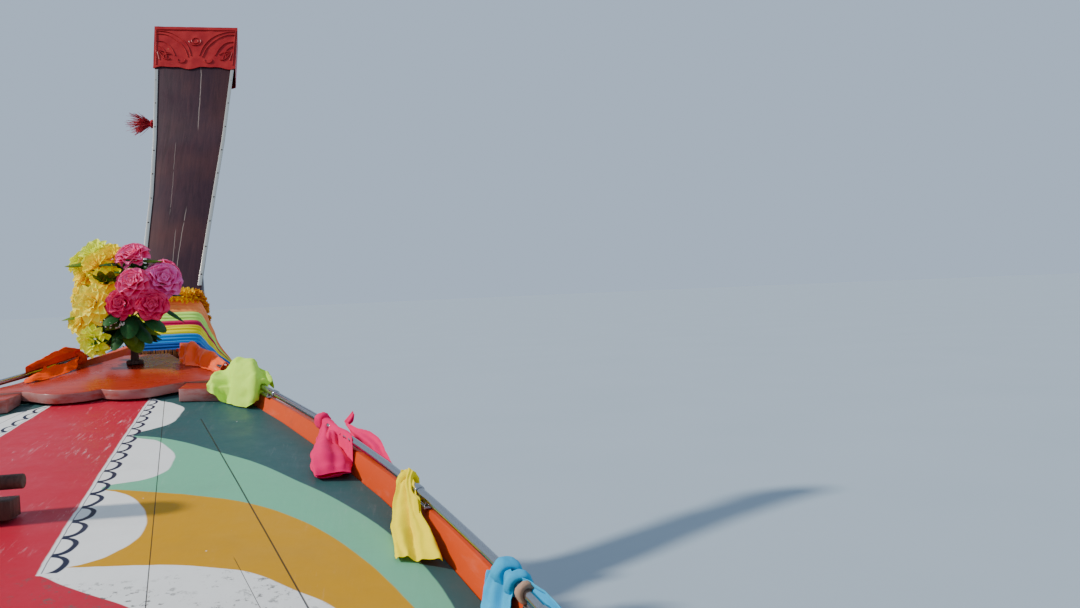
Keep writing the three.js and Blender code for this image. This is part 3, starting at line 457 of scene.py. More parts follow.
def paintedWood(name, paint, under=(0.16, 0.09, 0.05), roughness=0.42, chips=0.70, seams=None, coat=0.15,
                fade=0.5, within=None):
    f = Finish(name, roughness)
    streaks = f.noise(7, 8, 0.65, (5, 0.5, 5))
    base = f.mix(f.mask(f.noise(3.0, 6, 0.6), 0.3, 0.8), paint, tint(paint, 0.72))
    pale = tuple(lerp(c, 0.75, 0.35) for c in paint)
    base = f.mix(f.times(f.mask(streaks, 0.55, 0.8), fade), base, pale)
    chipMask = f.mask(f.noise(22, 12, 0.72), chips, chips + 0.03)
    base = f.mix(chipMask, base, under)
    dirt = f.mask(f.noise(9, 10, 0.7), 0.6, 0.85)
    base = f.mix(f.times(dirt, 0.45), base, (0.05, 0.045, 0.04))
    if seams:
        base = boardSeams(f, base, tint(paint, 0.15), seams)
    if within:
        # the side that looks up into the hull was never painted
        grain = f.ramp(f.noise(6, 8, 0.6, (12, 1.0, 12), 0.8), [(0.25, within[0]), (0.85, within[1])])
        wet = f.mask(f.noise(2.6, 6, 0.6, (1, 0.5, 1)), 0.42, 0.68)
        grain = f.mix(f.times(wet, 0.6), grain, tint(within[0], 0.6))
        base = f.mix(f.mask(f.facingUp(), 0.02, 0.06), base, grain)
    f.color(base)
    f.rough(f.mask(f.noise(12, 6, 0.6), -0.5, 1.6))
    f.bump(f.math("SUBTRACT", f.times(streaks, 0.5), chipMask), 0.35, 0.001)
    return f.set(Coat_Weight=coat, Coat_Roughness=0.25).material


def metal(name, color, roughness=0.3, rust=0.0, scratched=(1, 40, 1), metallic=1.0):
    f = Finish(name, roughness, metallic)
    brushed = f.noise(18, 6, 0.6, scratched)
    base = f.mix(f.mask(brushed, 0.3, 0.8), color, tint(color, 0.72))
    if rust:
        spots = f.mask(f.noise(11, 12, 0.75), 0.74 - rust * 0.3, 0.82 - rust * 0.2)
        base = f.mix(spots, base, (0.16, 0.06, 0.025))
        if metallic > 0.5:
            f.feed(f.shader.inputs["Metallic"], f.mask(spots, 1.2, -0.2))
        f.rough(f.math("ADD", f.times(spots, 0.4), f.mask(brushed, -0.9 + roughness, 2.4)))
    else:
        f.rough(f.mask(brushed, 0.4 - roughness * 2, 2.6 - roughness))
    f.color(base)
    f.bump(brushed, 0.12, 0.0006)
    return f.material


def clothFinish(name, color, size=(0.3, 0.2), roughness=0.75, sheen=0.03, glow=0.04, satin=0.0, paintedGlow=0.05):
    f = Finish(name, roughness)
    threads = [f.waves(1.0, axis, source=f.stretched((size[0] * 190, size[1] * 190, 1),
                                                     f.flat)) for axis in "XY"]
    weave = f.times(threads[0], threads[1])
    soft = f.noise(11, 5, 0.6)
    base = f.mix(f.mask(soft, 0.3, 0.75), color, tint(color, 0.8))
    base = f.mix(f.times(weave, 0.16), base, tint(color, 1.2))
    f.color(base)
    # painted glow: the cloth gives off light in a deepened copy of its own colour, standing in for sunlight
    # shining through thin cloth
    f.feed(f.shader.inputs["Emission Color"], f.mix(1.0, base, base, "MULTIPLY"))
    f.rough(f.mask(soft, 0.2 - roughness * 2, 2.0 - roughness))
    f.bump(weave, 0.25, 0.0004)
    f.bump(f.noise(55, 6, 0.6), 0.3, 0.0018)
    f.set(Sheen_Weight=sheen, Sheen_Roughness=0.4, Subsurface_Weight=glow, Subsurface_Scale=0.02,
          Specular_IOR_Level=0.08,
          Emission_Strength=paintedGlow)
    return f.set(Coat_Weight=satin, Coat_Roughness=0.35).material


def petalFinish(name, heart, middle, rim, veins=0.35, paintedGlow=0.07):
    f = Finish(name, 0.6)
    along = f.splitFlat()[1]
    base = f.ramp(along, [(0.0, heart), (0.45, middle), (1.0, rim)])
    lines = f.noise(9, 3, 0.6, (30, 1.2, 30))
    base = f.mix(f.times(f.mask(lines, 0.45, 0.75), veins), base, tint(heart, 0.8))
    f.color(base)
    # painted glow: the petal gives off light in a deepened copy of its own colour, standing in for sunlight
    # shining through thin petals
    f.feed(f.shader.inputs["Emission Color"], f.mix(1.0, base, base, "MULTIPLY"))
    f.rough(f.mask(f.noise(30, 4, 0.6), -0.6, 1.4))
    f.bump(lines, 0.35, 0.0008)
    f.set(Emission_Strength=paintedGlow, Subsurface_Weight=0.05, Subsurface_Scale=0.01, Specular_IOR_Level=0.1)
    return f.material


deckColors = {
    "red": (0.46, 0.012, 0.034),
    "teal": (0.028, 0.088, 0.088),
    "green": (0.155, 0.44, 0.27),
    "ochre": (0.54, 0.265, 0.0),
    "white": (0.76, 0.755, 0.73),
    "navy": (0.012, 0.014, 0.040),
}
# borders of the paint on the foredeck: (metres along Y, metres out from the centreline)
deckBorders = {
    "from": -4.45,
    "to": -2.25,
    "teal": [(-3.94, 0.0), (-3.925, 0.18), (-3.89, 0.25), (-3.79, 0.37), (-3.71, 0.46), (-3.62, 0.535),
             (-3.50, 0.63),
             (-3.34, 0.725), (-3.21, 0.775), (-3.05, 0.81), (-2.8, 0.85), (-2.3, 0.90)],
    "green": [(-3.60, 0.0), (-3.585, 0.20), (-3.56, 0.29), (-3.53, 0.38), (-3.49, 0.47), (-3.425, 0.55),
              (-3.355, 0.61), (-3.26, 0.67), (-3.155, 0.72), (-3.05, 0.76), (-2.8, 0.81), (-2.3, 0.86)],
    "ochre": [(-3.275, 0.0), (-3.254, 0.22), (-3.251, 0.32), (-3.244, 0.38), (-3.232, 0.44), (-3.21, 0.505),
              (-3.155, 0.57),
              (-3.09, 0.637), (-2.95, 0.70), (-2.7, 0.76), (-2.3, 0.81)],
    "white": [(-3.240, 0.0), (-3.234, 0.200), (-3.197, 0.247), (-3.165, 0.289), (-3.106, 0.369), (-3.0, 0.46),
              (-2.8, 0.56),
              (-2.3, 0.68)],
    "lobes": [(-4.27, 0.13), (-4.241, 0.150), (-4.206, 0.193), (-4.134, 0.229), (-4.06, 0.229),
              (-4.01, 0.217), (-3.977, 0.192),
              (-3.937, 0.162), (-3.909, 0.178), (-3.892, 0.215), (-3.833, 0.256), (-3.76, 0.286),
              (-3.695, 0.289),
              (-3.653, 0.276), (-3.625, 0.248), (-3.593, 0.190), (-3.573, 0.218), (-3.546, 0.251),
              (-3.498, 0.282),
              (-3.441, 0.305), (-3.377, 0.314), (-3.336, 0.308), (-3.304, 0.294), (-3.275, 0.272),
              (-3.256, 0.240),
              (-3.238, 0.202)],
    "band": [(-4.45, 0.104), (-4.241, 0.119), (-3.86, 0.148), (-3.58, 0.171), (-3.368, 0.189),
             (-3.233, 0.202)],
    "bandEnd": -3.236,
    "stripWidth": 0.0062,
    "scallopFrom": -4.25,
    "scallopFirst": 0.050,
    "scallopGrowth": 0.0006,
    "scallopHeight": 0.44,
    "scallopPeak": 0.22,
    "scallopStroke": 0.135,
    "scallopInner": 0.80,
    "seams": [(-4.25, 0.160, -3.11, 0.381, 0.0006), (-4.05, 0.286, -3.10, 0.596, 0.0011),
              (-3.26, 0.475, -3.10, 0.532, 0.0004)],
}


def foredeckPaint():
    f = Finish("foredeckPaint", 0.5)
    parts = f.split()
    wobble = f.times(f.math("SUBTRACT", f.noise(14, 3, 0.5), 0.5), 0.008)
    out = f.math("ADD", f.math("ABSOLUTE", parts[0]), wobble)
    y = f.math("ADD", parts[1], wobble)
    low, high = deckBorders["from"], deckBorders["to"]

    def inside(name):
        border = f.curve(y, deckBorders[name], low, high)
        begun = f.step(y, deckBorders[name][0][0], 0.001)
        return f.times(f.opposite(f.step(out, border)), begun)

    color = f.mix(inside("teal"), deckColors["teal"], deckColors["green"])
    color = f.mix(inside("green"), color, deckColors["ochre"])
    color = f.mix(inside("ochre"), color, deckColors["white"])
    color = f.mix(inside("white"), color, deckColors["red"])
    ahead = f.opposite(f.step(y, deckBorders["bandEnd"], 0.0015))
    color = f.mix(f.times(inside("lobes"), ahead), color, deckColors["white"])

    band = f.curve(y, deckBorders["band"], low, high)
    stripEdge = f.math("ADD", band, deckBorders["stripWidth"])
    line = f.math("SUBTRACT", 0.0013, f.math("ABSOLUTE", f.math("SUBTRACT", out, stripEdge)))
    lineMask = f.times(f.mask(line, 0.0, 0.0008), ahead)

    # the row of scallops grows as it runs aft
    first, growth = deckBorders["scallopFirst"], deckBorders["scallopGrowth"]
    run = f.math("MAXIMUM", f.math("SUBTRACT", y, deckBorders["scallopFrom"]), 0.0)
    pitch = f.math("SQRT", f.math("MULTIPLY_ADD", run, 4 * growth, first * first))
    count = f.math("DIVIDE", f.math("SUBTRACT", pitch, first), 2 * growth)
    across = f.times(f.math("SUBTRACT", f.math("FRACT", count), 0.5), 2.0)
    peak = deckBorders["scallopPeak"]
    shifted = f.math("ADD", across, peak)
    sideways = f.math("MAXIMUM", f.math("DIVIDE", shifted, 1 + peak), f.math("DIVIDE", shifted, peak - 1))

    def arch(wide):
        u = f.math("DIVIDE", sideways, wide)
        return f.math("SQRT", f.math("MAXIMUM", f.opposite(f.times(u, u)), 0.0))

    height = f.math("DIVIDE", f.math("SUBTRACT", out, stripEdge), pitch)
    top = f.times(arch(1.06), deckBorders["scallopHeight"])
    inner = f.times(arch(deckBorders["scallopInner"]),
                    deckBorders["scallopHeight"] - deckBorders["scallopStroke"])
    crescent = f.times(f.step(height, inner, 0.02), f.opposite(f.step(height, top, 0.02)))
    crescent = f.times(crescent, f.step(height, -0.03, 0.02))
    crescent = f.times(f.times(crescent, ahead), f.step(y, deckBorders["scallopFrom"], 0.001))
    color = f.mix(f.times(lineMask, 0.75), color, deckColors["navy"])
    color = f.mix(crescent, color, deckColors["navy"])
    inBand = f.times(f.opposite(f.step(out, band)),
                     f.opposite(f.step(y, deckBorders["bandEnd"] + 0.008, 0.002)))
    color = f.mix(inBand, color, deckColors["red"])

    # fore-and-aft scuffs, mostly on the red
    scuffs = f.mask(f.noise(10, 12, 0.74, (11, 0.9, 11), 0.3), 0.55, 0.68)
    patches = f.mask(f.noise(4.2, 4, 0.6), 0.42, 0.60)
    scuffAmount = f.times(f.times(scuffs, patches), f.math("MULTIPLY_ADD", inBand, 0.62, 0.10))
    color = f.mix(scuffAmount, color, (0.74, 0.56, 0.58))
    grime = f.mask(f.noise(5.5, 12, 0.72), 0.5, 0.9)
    color = f.mix(f.times(grime, 0.22), color, (0.10, 0.075, 0.06))
    mould = f.times(f.mask(f.noise(70, 8, 0.7), 0.55, 0.62), f.mask(f.noise(5.5, 3, 0.5), 0.46, 0.58))
    mould = f.times(mould, f.times(f.step(y, -3.24, 0.04), inside("ochre")))
    color = f.mix(f.times(mould, 0.85), color, (0.09, 0.09, 0.08))
    chips = f.mask(f.cells(24), 0.045, 0.025)
    chips = f.times(chips, f.mask(f.noise(7, 3, 0.5), 0.5, 0.6))
    color = f.mix(chips, color, (0.75, 0.73, 0.70))

    # seams between the planks fan out as they run aft
    cuts = []
    for yFore, xFore, yAft, xAft, half in deckBorders["seams"]:
        slope = (xAft - xFore) / (yAft - yFore)
        line = f.math("MULTIPLY_ADD", parts[1], slope, xFore - slope * yFore)
        gap = f.math("ABSOLUTE", f.math("SUBTRACT", f.math("ABSOLUTE", parts[0]), line))
        cuts.append(f.times(f.mask(gap, half * 1.7, half * 0.8), f.step(parts[1], yFore, 0.01)))
    seamMask = f.strongest(cuts)
    color = f.mix(f.times(seamMask, 0.85), color, (0.02, 0.018, 0.015))
    f.color(color)
    f.rough(f.mask(f.noise(16, 8, 0.65), -0.35, 1.45))
    f.bump(f.opposite(seamMask), 0.8, 0.003)
    f.bump(f.noise(5, 8, 0.6, (12, 1, 12)), 0.25, 0.0016)
    return f.set(Coat_Weight=0.05, Coat_Roughness=0.4).material


postCracks = [  # across at the top, across at the foot, from height, to height, half width
    (-0.026, -0.030, 1.93, 2.22, 0.0014),
    (-0.018, -0.006, 1.26, 1.56, 0.0012),
    (0.010, 0.004, 1.24, 1.47, 0.0010),
    (0.052, 0.040, 1.55, 1.85, 0.0007),
]


def postVarnish():
    f = Finish("postVarnish", 0.5)
    grain = f.noise(4, 9, 0.65, (16, 1.5, 1.5), 0.6)
    base = f.ramp(grain, [(0.2, (0.022, 0.009, 0.014)), (0.5, (0.044, 0.018, 0.026)),
                          (0.9, (0.080, 0.030, 0.034))])
    warm = f.mask(f.noise(2.3, 4, 0.5), 0.5, 0.75)
    base = f.mix(f.times(warm, 0.5), base, (0.125, 0.040, 0.028))
    parts = f.split()
    bend = f.times(f.math("SUBTRACT", f.noise(7, 4, 0.6, (0.2, 1, 1)), 0.5), 0.012)
    broken = f.mask(f.noise(16, 4, 0.6, (0.2, 1, 1)), 0.36, 0.44)
    marks = []
    for top, foot, low, high, half in postCracks:
        along = f.mask(parts[2], low, high)
        line = f.math("MULTIPLY_ADD", along, top - foot, foot)
        gap = f.math("ABSOLUTE", f.math("SUBTRACT", f.math("ADD", parts[0], bend), line))
        ends = f.times(f.step(parts[2], low, 0.02), f.opposite(f.step(parts[2], high, 0.02)))
        marks.append(f.times(f.mask(gap, half * 1.6, half * 0.5), ends))
    cracked = f.times(f.strongest(marks), broken)
    base = f.mix(f.times(cracked, 0.6), base, (0.36, 0.28, 0.24))
    low = f.mask(parts[2], 1.62, 1.30)
    scratches = f.times(f.mask(f.noise(10, 12, 0.8, (22, 1.6, 1.6), 0.4), 0.63, 0.69), low)
    base = f.mix(f.times(scratches, 0.55), base, (0.42, 0.34, 0.30))
    dark = f.times(f.mask(f.noise(5, 6, 0.6, (9, 1, 1)), 0.60, 0.75), 0.5)
    base = f.mix(dark, base, (0.020, 0.010, 0.012))
    f.color(base)
    f.rough(f.mask(f.noise(9, 6, 0.6), -0.3, 1.3))
    f.bump(grain, 0.35, 0.0016)
    f.bump(f.opposite(cracked), 0.6, 0.002)
    return f.set(Coat_Weight=0.05, Coat_Roughness=0.35).material


def boardVarnish():
    f = Finish("boardVarnish", 0.28)
    grain = f.noise(5, 8, 0.6, (2.5, 12, 12), 0.9)
    base = f.ramp(grain, [(0.2, (0.24, 0.014, 0.006)), (0.6, (0.40, 0.034, 0.012)),
                          (0.95, (0.52, 0.075, 0.022))])
    # painted shade: the board is darkened round the flower peg, where the bouquet above shades it
    toPeg = f.node("ShaderNodeVectorMath", operation="DISTANCE")
    f.feed(toPeg.inputs[0], f.place)
    toPeg.inputs[1].default_value = (0.0, -4.66, 1.02)
    bouquetShade = f.times(f.mask(toPeg.outputs["Value"], 0.36, 0.05), f.mask(f.noise(7, 8, 0.7), 0.3, 0.7))
    base = f.mix(f.times(bouquetShade, 0.35), base, (0.16, 0.016, 0.009))
    side = f.mask(f.facingUp(), 0.75, 0.35)
    worn = f.times(side, f.mask(f.noise(13, 8, 0.72, (1, 1, 3)), 0.28, 0.52))
    base = f.mix(f.times(worn, 0.85), base, (0.40, 0.215, 0.20))
    stains = f.mask(f.noise(18, 10, 0.75), 0.66, 0.72)
    base = f.mix(f.times(stains, 0.5), base, (0.10, 0.02, 0.012))
    f.color(base)
    f.rough(f.mask(f.noise(11, 6, 0.6), -0.2, 2.2))
    f.bump(grain, 0.15, 0.0008)
    return f.set(Coat_Weight=0.08, Coat_Roughness=0.22).material


orangePaint = (0.62, 0.062, 0.006)
plankSeams = ("Z", 0.19, 0.004)
finishes = {
    "hull_wood": bareWood("sidePlanking", (0.11, 0.040, 0.016), (0.34, 0.15, 0.060), (2, 1, 12), 0.45, 0.35,
                          plankSeams),
    "bottom_paint": paintedWood("bottomPaint", (0.24, 0.030, 0.020), chips=0.68, seams=("X", 0.17, 0.003),
                                within=((0.10, 0.045, 0.020), (0.28, 0.145, 0.065))),
    "stem_wood": postVarnish(),
    "edge_strip": metal("edgeStrip", (0.62, 0.60, 0.54), 0.45, 0.25, (1, 1, 30), 0.6),
    "gunwale_paint": paintedWood("gunwaleOrange", orangePaint, (0.16, 0.040, 0.02), 0.42, 0.69, coat=0.08,
                                 fade=0.2),
    "deck_paint": foredeckPaint(),
    "board_varnish": boardVarnish(),
    "dark_wood": bareWood("darkTimber", (0.040, 0.019, 0.015), (0.17, 0.085, 0.065), (10, 10, 2), 0.6, 0.0,
                          None, 0.5),
    "rail_steel": metal("railSteel", (0.47, 0.47, 0.49), 0.15, 0.0, (30, 1, 30)),
    "inner_wood": bareWood("innerBoards", (0.14, 0.060, 0.024), (0.40, 0.22, 0.095), (12, 1.0, 12), 0.6, 0.1),
    "engine_paint": metal("engineEnamel", (0.035, 0.085, 0.075), 0.42, 0.3, (1, 6, 1), 0.0),
    "black_iron": metal("blackIron", (0.035, 0.034, 0.034), 0.5, 0.5, (1, 6, 1), 0.3),
    "bronze": metal("propellerBronze", (0.55, 0.34, 0.12), 0.3, 0.12, (20, 20, 1)),
}
benchWood = bareWood("benchBoards", (0.13, 0.050, 0.020), (0.38, 0.19, 0.080), (1.0, 12, 12), 0.5, 0.25)
deckBoards = bareWood("sternBoards", (0.13, 0.055, 0.022), (0.36, 0.19, 0.085), (12, 1.0, 12), 0.6, 0.1,
                      ("X", 0.16, 0.003))
floorWood = bareWood("floorboardWood", (0.12, 0.055, 0.026), (0.34, 0.20, 0.10), (12, 1.0, 12), 0.7, 0.0,
                     None, 0.5)
ownFinish = {"stern_deck": deckBoards, "floorboards": floorWood}
for number in range(1, 5):
    ownFinish["bench_%d" % number] = benchWood
for nodeName, nodeObject in nodes.items():
    paint = ownFinish.get(nodeName) or finishes.get(slotOfNode[nodeName])
    if paint:
        setMaterial(nodeObject, paint)
print("finishes made")


easedEdges = {  # node: width of the rounding on its edges
    "bow_board": 0.0022, "bow_beam_port": 0.002, "bow_beam_starboard": 0.002, "stem_post": 0.005,
    "keel": 0.004,
    "engine_post": 0.006, "transom": 0.004, "stern_deck": 0.003, "floorboards": 0.0025, "hull_frames": 0.003,
    "bench_1": 0.004, "bench_2": 0.004, "bench_3": 0.004, "bench_4": 0.004, "mooring_bitt": 0.002,
    "swivel_base": 0.0025, "engine_yoke": 0.003, "engine_cradle": 0.003, "engine_block": 0.005,
    "cylinder_head": 0.004, "bell_housing": 0.003, "air_cleaner": 0.003, "belt_drive": 0.002,
    "tiller": 0.0015,
    "tail_shaft": 0.0015, "propeller": 0.0, "exhaust_pipe": 0.0, "canopy_frame": 0.0, "foredeck": 0.0,
    "stem_strip_port": 0.0008, "stem_strip_starboard": 0.0008,
}
for side in ("port", "starboard"):
    easedEdges["side_planks_" + side] = 0.0
    for part in ("fore", "aft"):
        easedEdges["gunwale_%s_%s" % (part, side)] = 0.004
    for part in ("fore", "mid", "aft"):
        easedEdges["bottom_planks_%s_%s" % (part, side)] = 0.0
roundShapes = ("propeller", "exhaust_pipe", "canopy_frame", "tiller", "tail_shaft", "bell_housing",
               "air_cleaner",
               "mooring_bitt", "flower_peg", "swivel_base")
easing = {"sharp": 32, "round": 48, "flat": 34}  # degrees


boardEnd = {"from": -4.60, "share": 0.70}
postEdges = [  # height, place along Y and half width of the face that looks aft
    (1.20, -5.11, 0.1010), (1.256, -5.142, 0.104), (1.423, -5.263, 0.114), (1.623, -5.426, 0.124),
    (1.875, -5.609, 0.142),
    (2.203, -5.8015, 0.1637), (2.42, -5.90, 0.1765),
]
stripLine = [(half, y, z) for z, y, half in reversed(postEdges[1:-1])]
postFace = [(z, y) for z, y, _ in postEdges]
postHalf = [(z, half) for z, _, half in postEdges]
postTaper = {"share": 0.66, "depth": 0.22, "from": 1.18, "full": 1.30}
stripShare = 0.62
bowSag = {"drop": 0.017, "from": -4.26, "over": 0.28}


def sagAt(y):
    # gunwales and rails sink a little towards the bow
    return bowSag["drop"] * ease(clamp((bowSag["from"] - y) / bowSag["over"]))


def narrowForward(piece):
    # the post is slimmer on its forward side than on the face that looks aft
    for vertex in piece.data.vertices:
        z = vertex.co.z
        depth = clamp((alongTable(postFace, z, smooth=False) - vertex.co.y) / postTaper["depth"])
        amount = depth * clamp((z - postTaper["from"]) / (postTaper["full"] - postTaper["from"]))
        vertex.co.x *= lerp(1.0, postTaper["share"], amount)


def easedCopy(nodeName, width):
    piece = copyOf(nodes[nodeName], nodeName + "Eased")
    piece.parent = None
    piece.matrix_world = Matrix.Identity(4)
    startEdit(piece)
    bpy.ops.mesh.select_all(action="SELECT")
    bpy.ops.mesh.remove_doubles(threshold=0.00005)
    bpy.ops.mesh.dissolve_limited(angle_limit=math.radians(0.5))
    endEdit()
    if nodeName == "stem_post":
        narrowForward(piece)
    if nodeName.startswith("stem_strip"):
        for vertex in piece.data.vertices:
            half = alongTable(postHalf, vertex.co.z, smooth=False)
            vertex.co.x = math.copysign(half - (half - abs(vertex.co.x)) * stripShare, vertex.co.x)
    if nodeName.startswith("gunwale_fore"):
        for vertex in piece.data.vertices:
            vertex.co.z -= sagAt(vertex.co.y)
    if nodeName == "bow_board":
        for vertex in piece.data.vertices:
            if vertex.co.y < boardEnd["from"]:
                vertex.co.y = boardEnd["from"] + (vertex.co.y - boardEnd["from"]) * boardEnd["share"]
    if width:
        addModifier(piece, "BEVEL", width=width, segments=2, limit_method="ANGLE",
                    angle_limit=math.radians(easing["sharp"]), harden_normals=False)
        applyModifiers(piece)
    smoothByAngle(piece, easing["round"] if nodeName in roundShapes else easing["flat"])
    return finishPiece(piece, None, bodyOfNode[nodeName], [nodeName])


eased = {name: easedCopy(name, width) for name, width in easedEdges.items()}
print("timber and iron eased:", len(eased))


def surfaceOf(names):
    points, faces = [], []
    for name in names:
        mesh, world = nodes[name].data, nodes[name].matrix_world
        base = len(points)
        points += [world @ vertex.co for vertex in mesh.vertices]
        faces += [[base + i for i in polygon.vertices] for polygon in mesh.polygons]
    return BVHTree.FromPolygons(points, faces)


underCloth = surfaceOf(["foredeck", "bow_board", "bow_beam_port", "bow_beam_starboard", "gunwale_fore_port",
                        "gunwale_fore_starboard", "bow_rail_port", "bow_rail_starboard", "flower_peg"])
underSatin = surfaceOf(["foredeck", "bow_board", "bow_beam_port", "bow_beam_starboard"])
railSurface = {side: surfaceOf(["bow_rail_" + side]) for side in ("port", "starboard")}


def dropOn(surface, x, y):
    # where something let fall at x, y would land
    return surface.ray_cast(Vector((x, y, 3)), -upward)[0]


def restHeight(x, y, reach=0.0, under=None):
    spots = [(0, 0)] if not reach else [(0, 0), (reach, 0), (-reach, 0), (0, reach), (0, -reach)]
    found = [dropOn(under or underCloth, x + a, y + b) for a, b in spots]
    heights = [hit.z for hit in found if hit]
    return max(heights) if heights else 0.0


railSizes = {
    "radius": 0.008, "from": -4.715, "to": -2.385, "step": 0.085,
    "collars": [-4.10, -3.795, -3.40, -2.95], "collar": 0.0105, "collarLength": 0.018,
    "feet": [-4.52, -4.14, -3.76, -3.37, -2.98, -2.60], "footPlate": (0.012, 0.020, 0.003),
    "footInset": 0.0045, "footRise": 0.008, "footBelow": 0.0115,
    "bolt": 0.004, "boltHead": 0.004, "boltOut": 0.014, "boltBelow": 0.007,
}
railSearch = {"from": 0.10, "step": 0.008, "steps": 120, "reach": 0.011, "fine": 0.0005}


def railAt(side, y):
    # the tube's middle: half way between its two sides, one radius under its top
    sign = 1 if side == "port" else -1
    rail = railSurface[side]
    s = railSearch
    tries = [dropOn(rail, sign * (s["from"] + number * s["step"]), y) for number in range(s["steps"])]
    best = max((hit for hit in tries if hit), key=lambda hit: hit.z)
    edges = []
    for way in (1, -1):
        offset = 0.0
        while offset < s["reach"] and dropOn(rail, best.x + way * offset, y):
            offset += s["fine"]
        edges.append(best.x + way * offset)
    return Vector((sum(edges) / 2, y, best.z - railSizes["radius"] - sagAt(y)))


def railCollar(middle, along):
    ring = roundedDisc("railCollar", 24, railSizes["collar"], railSizes["collarLength"], 0.002, 3, True)
    ring.data.transform(facing(along, middle))
    return smoothByAngle(ring, 50)


def railFoot(middle, along):
    deselectAll()
    bpy.ops.mesh.primitive_cube_add(size=2, location=(0, 0, 0))
    foot = newest("railFoot")
    foot.data.transform(Matrix.Diagonal((*railSizes["footPlate"], 1)))
    startEdit(foot, "FACE")
    pickFaces(foot, lambda centre, normal: normal.z > 0.9)
    bpy.ops.mesh.inset(thickness=railSizes["footInset"])
    bpy.ops.mesh.extrude_region_move(TRANSFORM_OT_translate={"value": (0, 0, railSizes["footRise"])})
    endEdit()
    addModifier(foot, "BEVEL", width=0.001, segments=2)
    applyModifiers(foot)
    turn = Matrix((along.cross(upward).normalized(), along, upward)).transposed().to_4x4()
    foot.data.transform(Matrix.Translation(middle - upward * railSizes["footBelow"]) @ turn)
    return foot


def footBolt(middle, along, end):
    head = roundedDisc("footBolt", 6, railSizes["bolt"], railSizes["boltHead"], 0.0008, 2)
    place = middle + along * end * railSizes["boltOut"] - upward * railSizes["boltBelow"]
    head.data.transform(Matrix.Translation(place))
    return head


def bowRail(side):
    first, last = railSizes["from"], railSizes["to"]
    count = int((last - first) / railSizes["step"]) + 1
    path = [railAt(side, lerp(first, last, i / (count - 1))) for i in range(count)]
    for _ in range(2):
        inner = [(a + 2 * b + c) / 4 for a, b, c in zip(path, path[1:], path[2:])]
        path = [path[0]] + inner + [path[-1]]

    def spot(y):
        share = (y - first) / (last - first)
        return onPath(path, share), pathDirection(path, share)

    parts = [tubeAlong("railTube", path, railSizes["radius"], 5, knots=4)]
    parts += [railCollar(*spot(y)) for y in railSizes["collars"]]
    for y in railSizes["feet"]:
        middle, along = spot(y)
        parts.append(railFoot(middle, along))
        parts += [footBolt(middle, along, end) for end in (-1, 1)]
    rail = joinPieces("bowRail" + side.title(), parts)
    return finishPiece(rail, finishes["rail_steel"], "hull", ["bow_rail_" + side])


for side in ("port", "starboard"):
    bowRail(side)
print("rails made")


capSizes = {
    "top": Vector((0, -5.900, 2.418)), "down": Vector((0, 0.4149, -0.9099)),
    "out": Vector((0, 0.9099, 0.4149)),
    "halfTop": 0.176, "halfLow": 0.170, "height": 0.226, "depth": 0.137, "wave": 0.006, "line": 0.0023,
    "cuts": 39, "above": 0.011, "stand": 0.006, "dent": 0.0016, "narrowing": 0.11, "sheet": 0.002,
    "scrollStand": 0.0075,
}


def capPoint(u, w, n):
    return capSizes["top"] + Vector((u, 0, 0)) + capSizes["down"] * w + capSizes["out"] * n


def capRelief():
    # raised scrolls, each a row of (across, down) on the cap's after face
    lines = []

    def arc(cu, cw, radius, start, end, count=12, squeeze=1.0, shrink=0.0):
        return [(cu + (radius - shrink * i / count) * math.cos(lerp(start, end, i / count)),
                 cw + squeeze * (radius - shrink * i / count) * math.sin(lerp(start, end, i / count)))
                for i in range(count + 1)]

    lines.append(arc(0, 0.070, 0.028, 0, fullTurn * 1.6, 30, 0.9, 0.018))
    for side in (-1, 1):
        sweeps = [[(0.165, 0.012), (0.12, 0.020), (0.075, 0.045), (0.035, 0.095), (0.018, 0.150)],
                  [(0.165, 0.030), (0.125, 0.036), (0.088, 0.060), (0.050, 0.105), (0.030, 0.158)],
                  [(0.160, 0.070), (0.130, 0.078), (0.105, 0.105), (0.085, 0.150)],
                  [(0.160, 0.095), (0.140, 0.110), (0.125, 0.140), (0.120, 0.170)]]
        lines += [[(side * u, w) for u, w in sweep] for sweep in sweeps]
        lines.append([(side * a, b) for a, b in arc(0.115, 0.160, 0.022, -2.2, 2.6, 14, 0.9, 0.010)])
        lines.append([(side * a, b) for a, b in arc(0.060, 0.175, 0.020, 3.4, -0.6, 12, 0.9, 0.008)])
        for i in range(4):
            angle = lerp(0.3, 1.35, i / 3)
            lines.append([(side * (0.162 - r * math.cos(angle)), 0.120 + r * math.sin(angle))
                          for r in (0.012, 0.055)])
        lines.append([(side * 0.168, 0.008), (side * 0.165, 0.100), (side * 0.163, 0.200)])
    lines.append([(-0.166, 0.006), (0, 0.006), (0.166, 0.006)])
    return lines


def capFinish():
    f = Finish("capRed", 0.42)
    cloudy = f.noise(16, 6, 0.6)
    color = f.mix(f.mask(cloudy, 0.35, 0.75), (0.33, 0.014, 0.018), (0.47, 0.028, 0.026))
    color = f.mix(f.mask(f.noise(48, 9, 0.75), 0.64, 0.72), color, (0.60, 0.16, 0.08))
    f.color(color).rough(f.mask(cloudy, -0.2, 1.5)).bump(f.noise(70, 6, 0.6), 0.4, 0.0015)
    return f.material


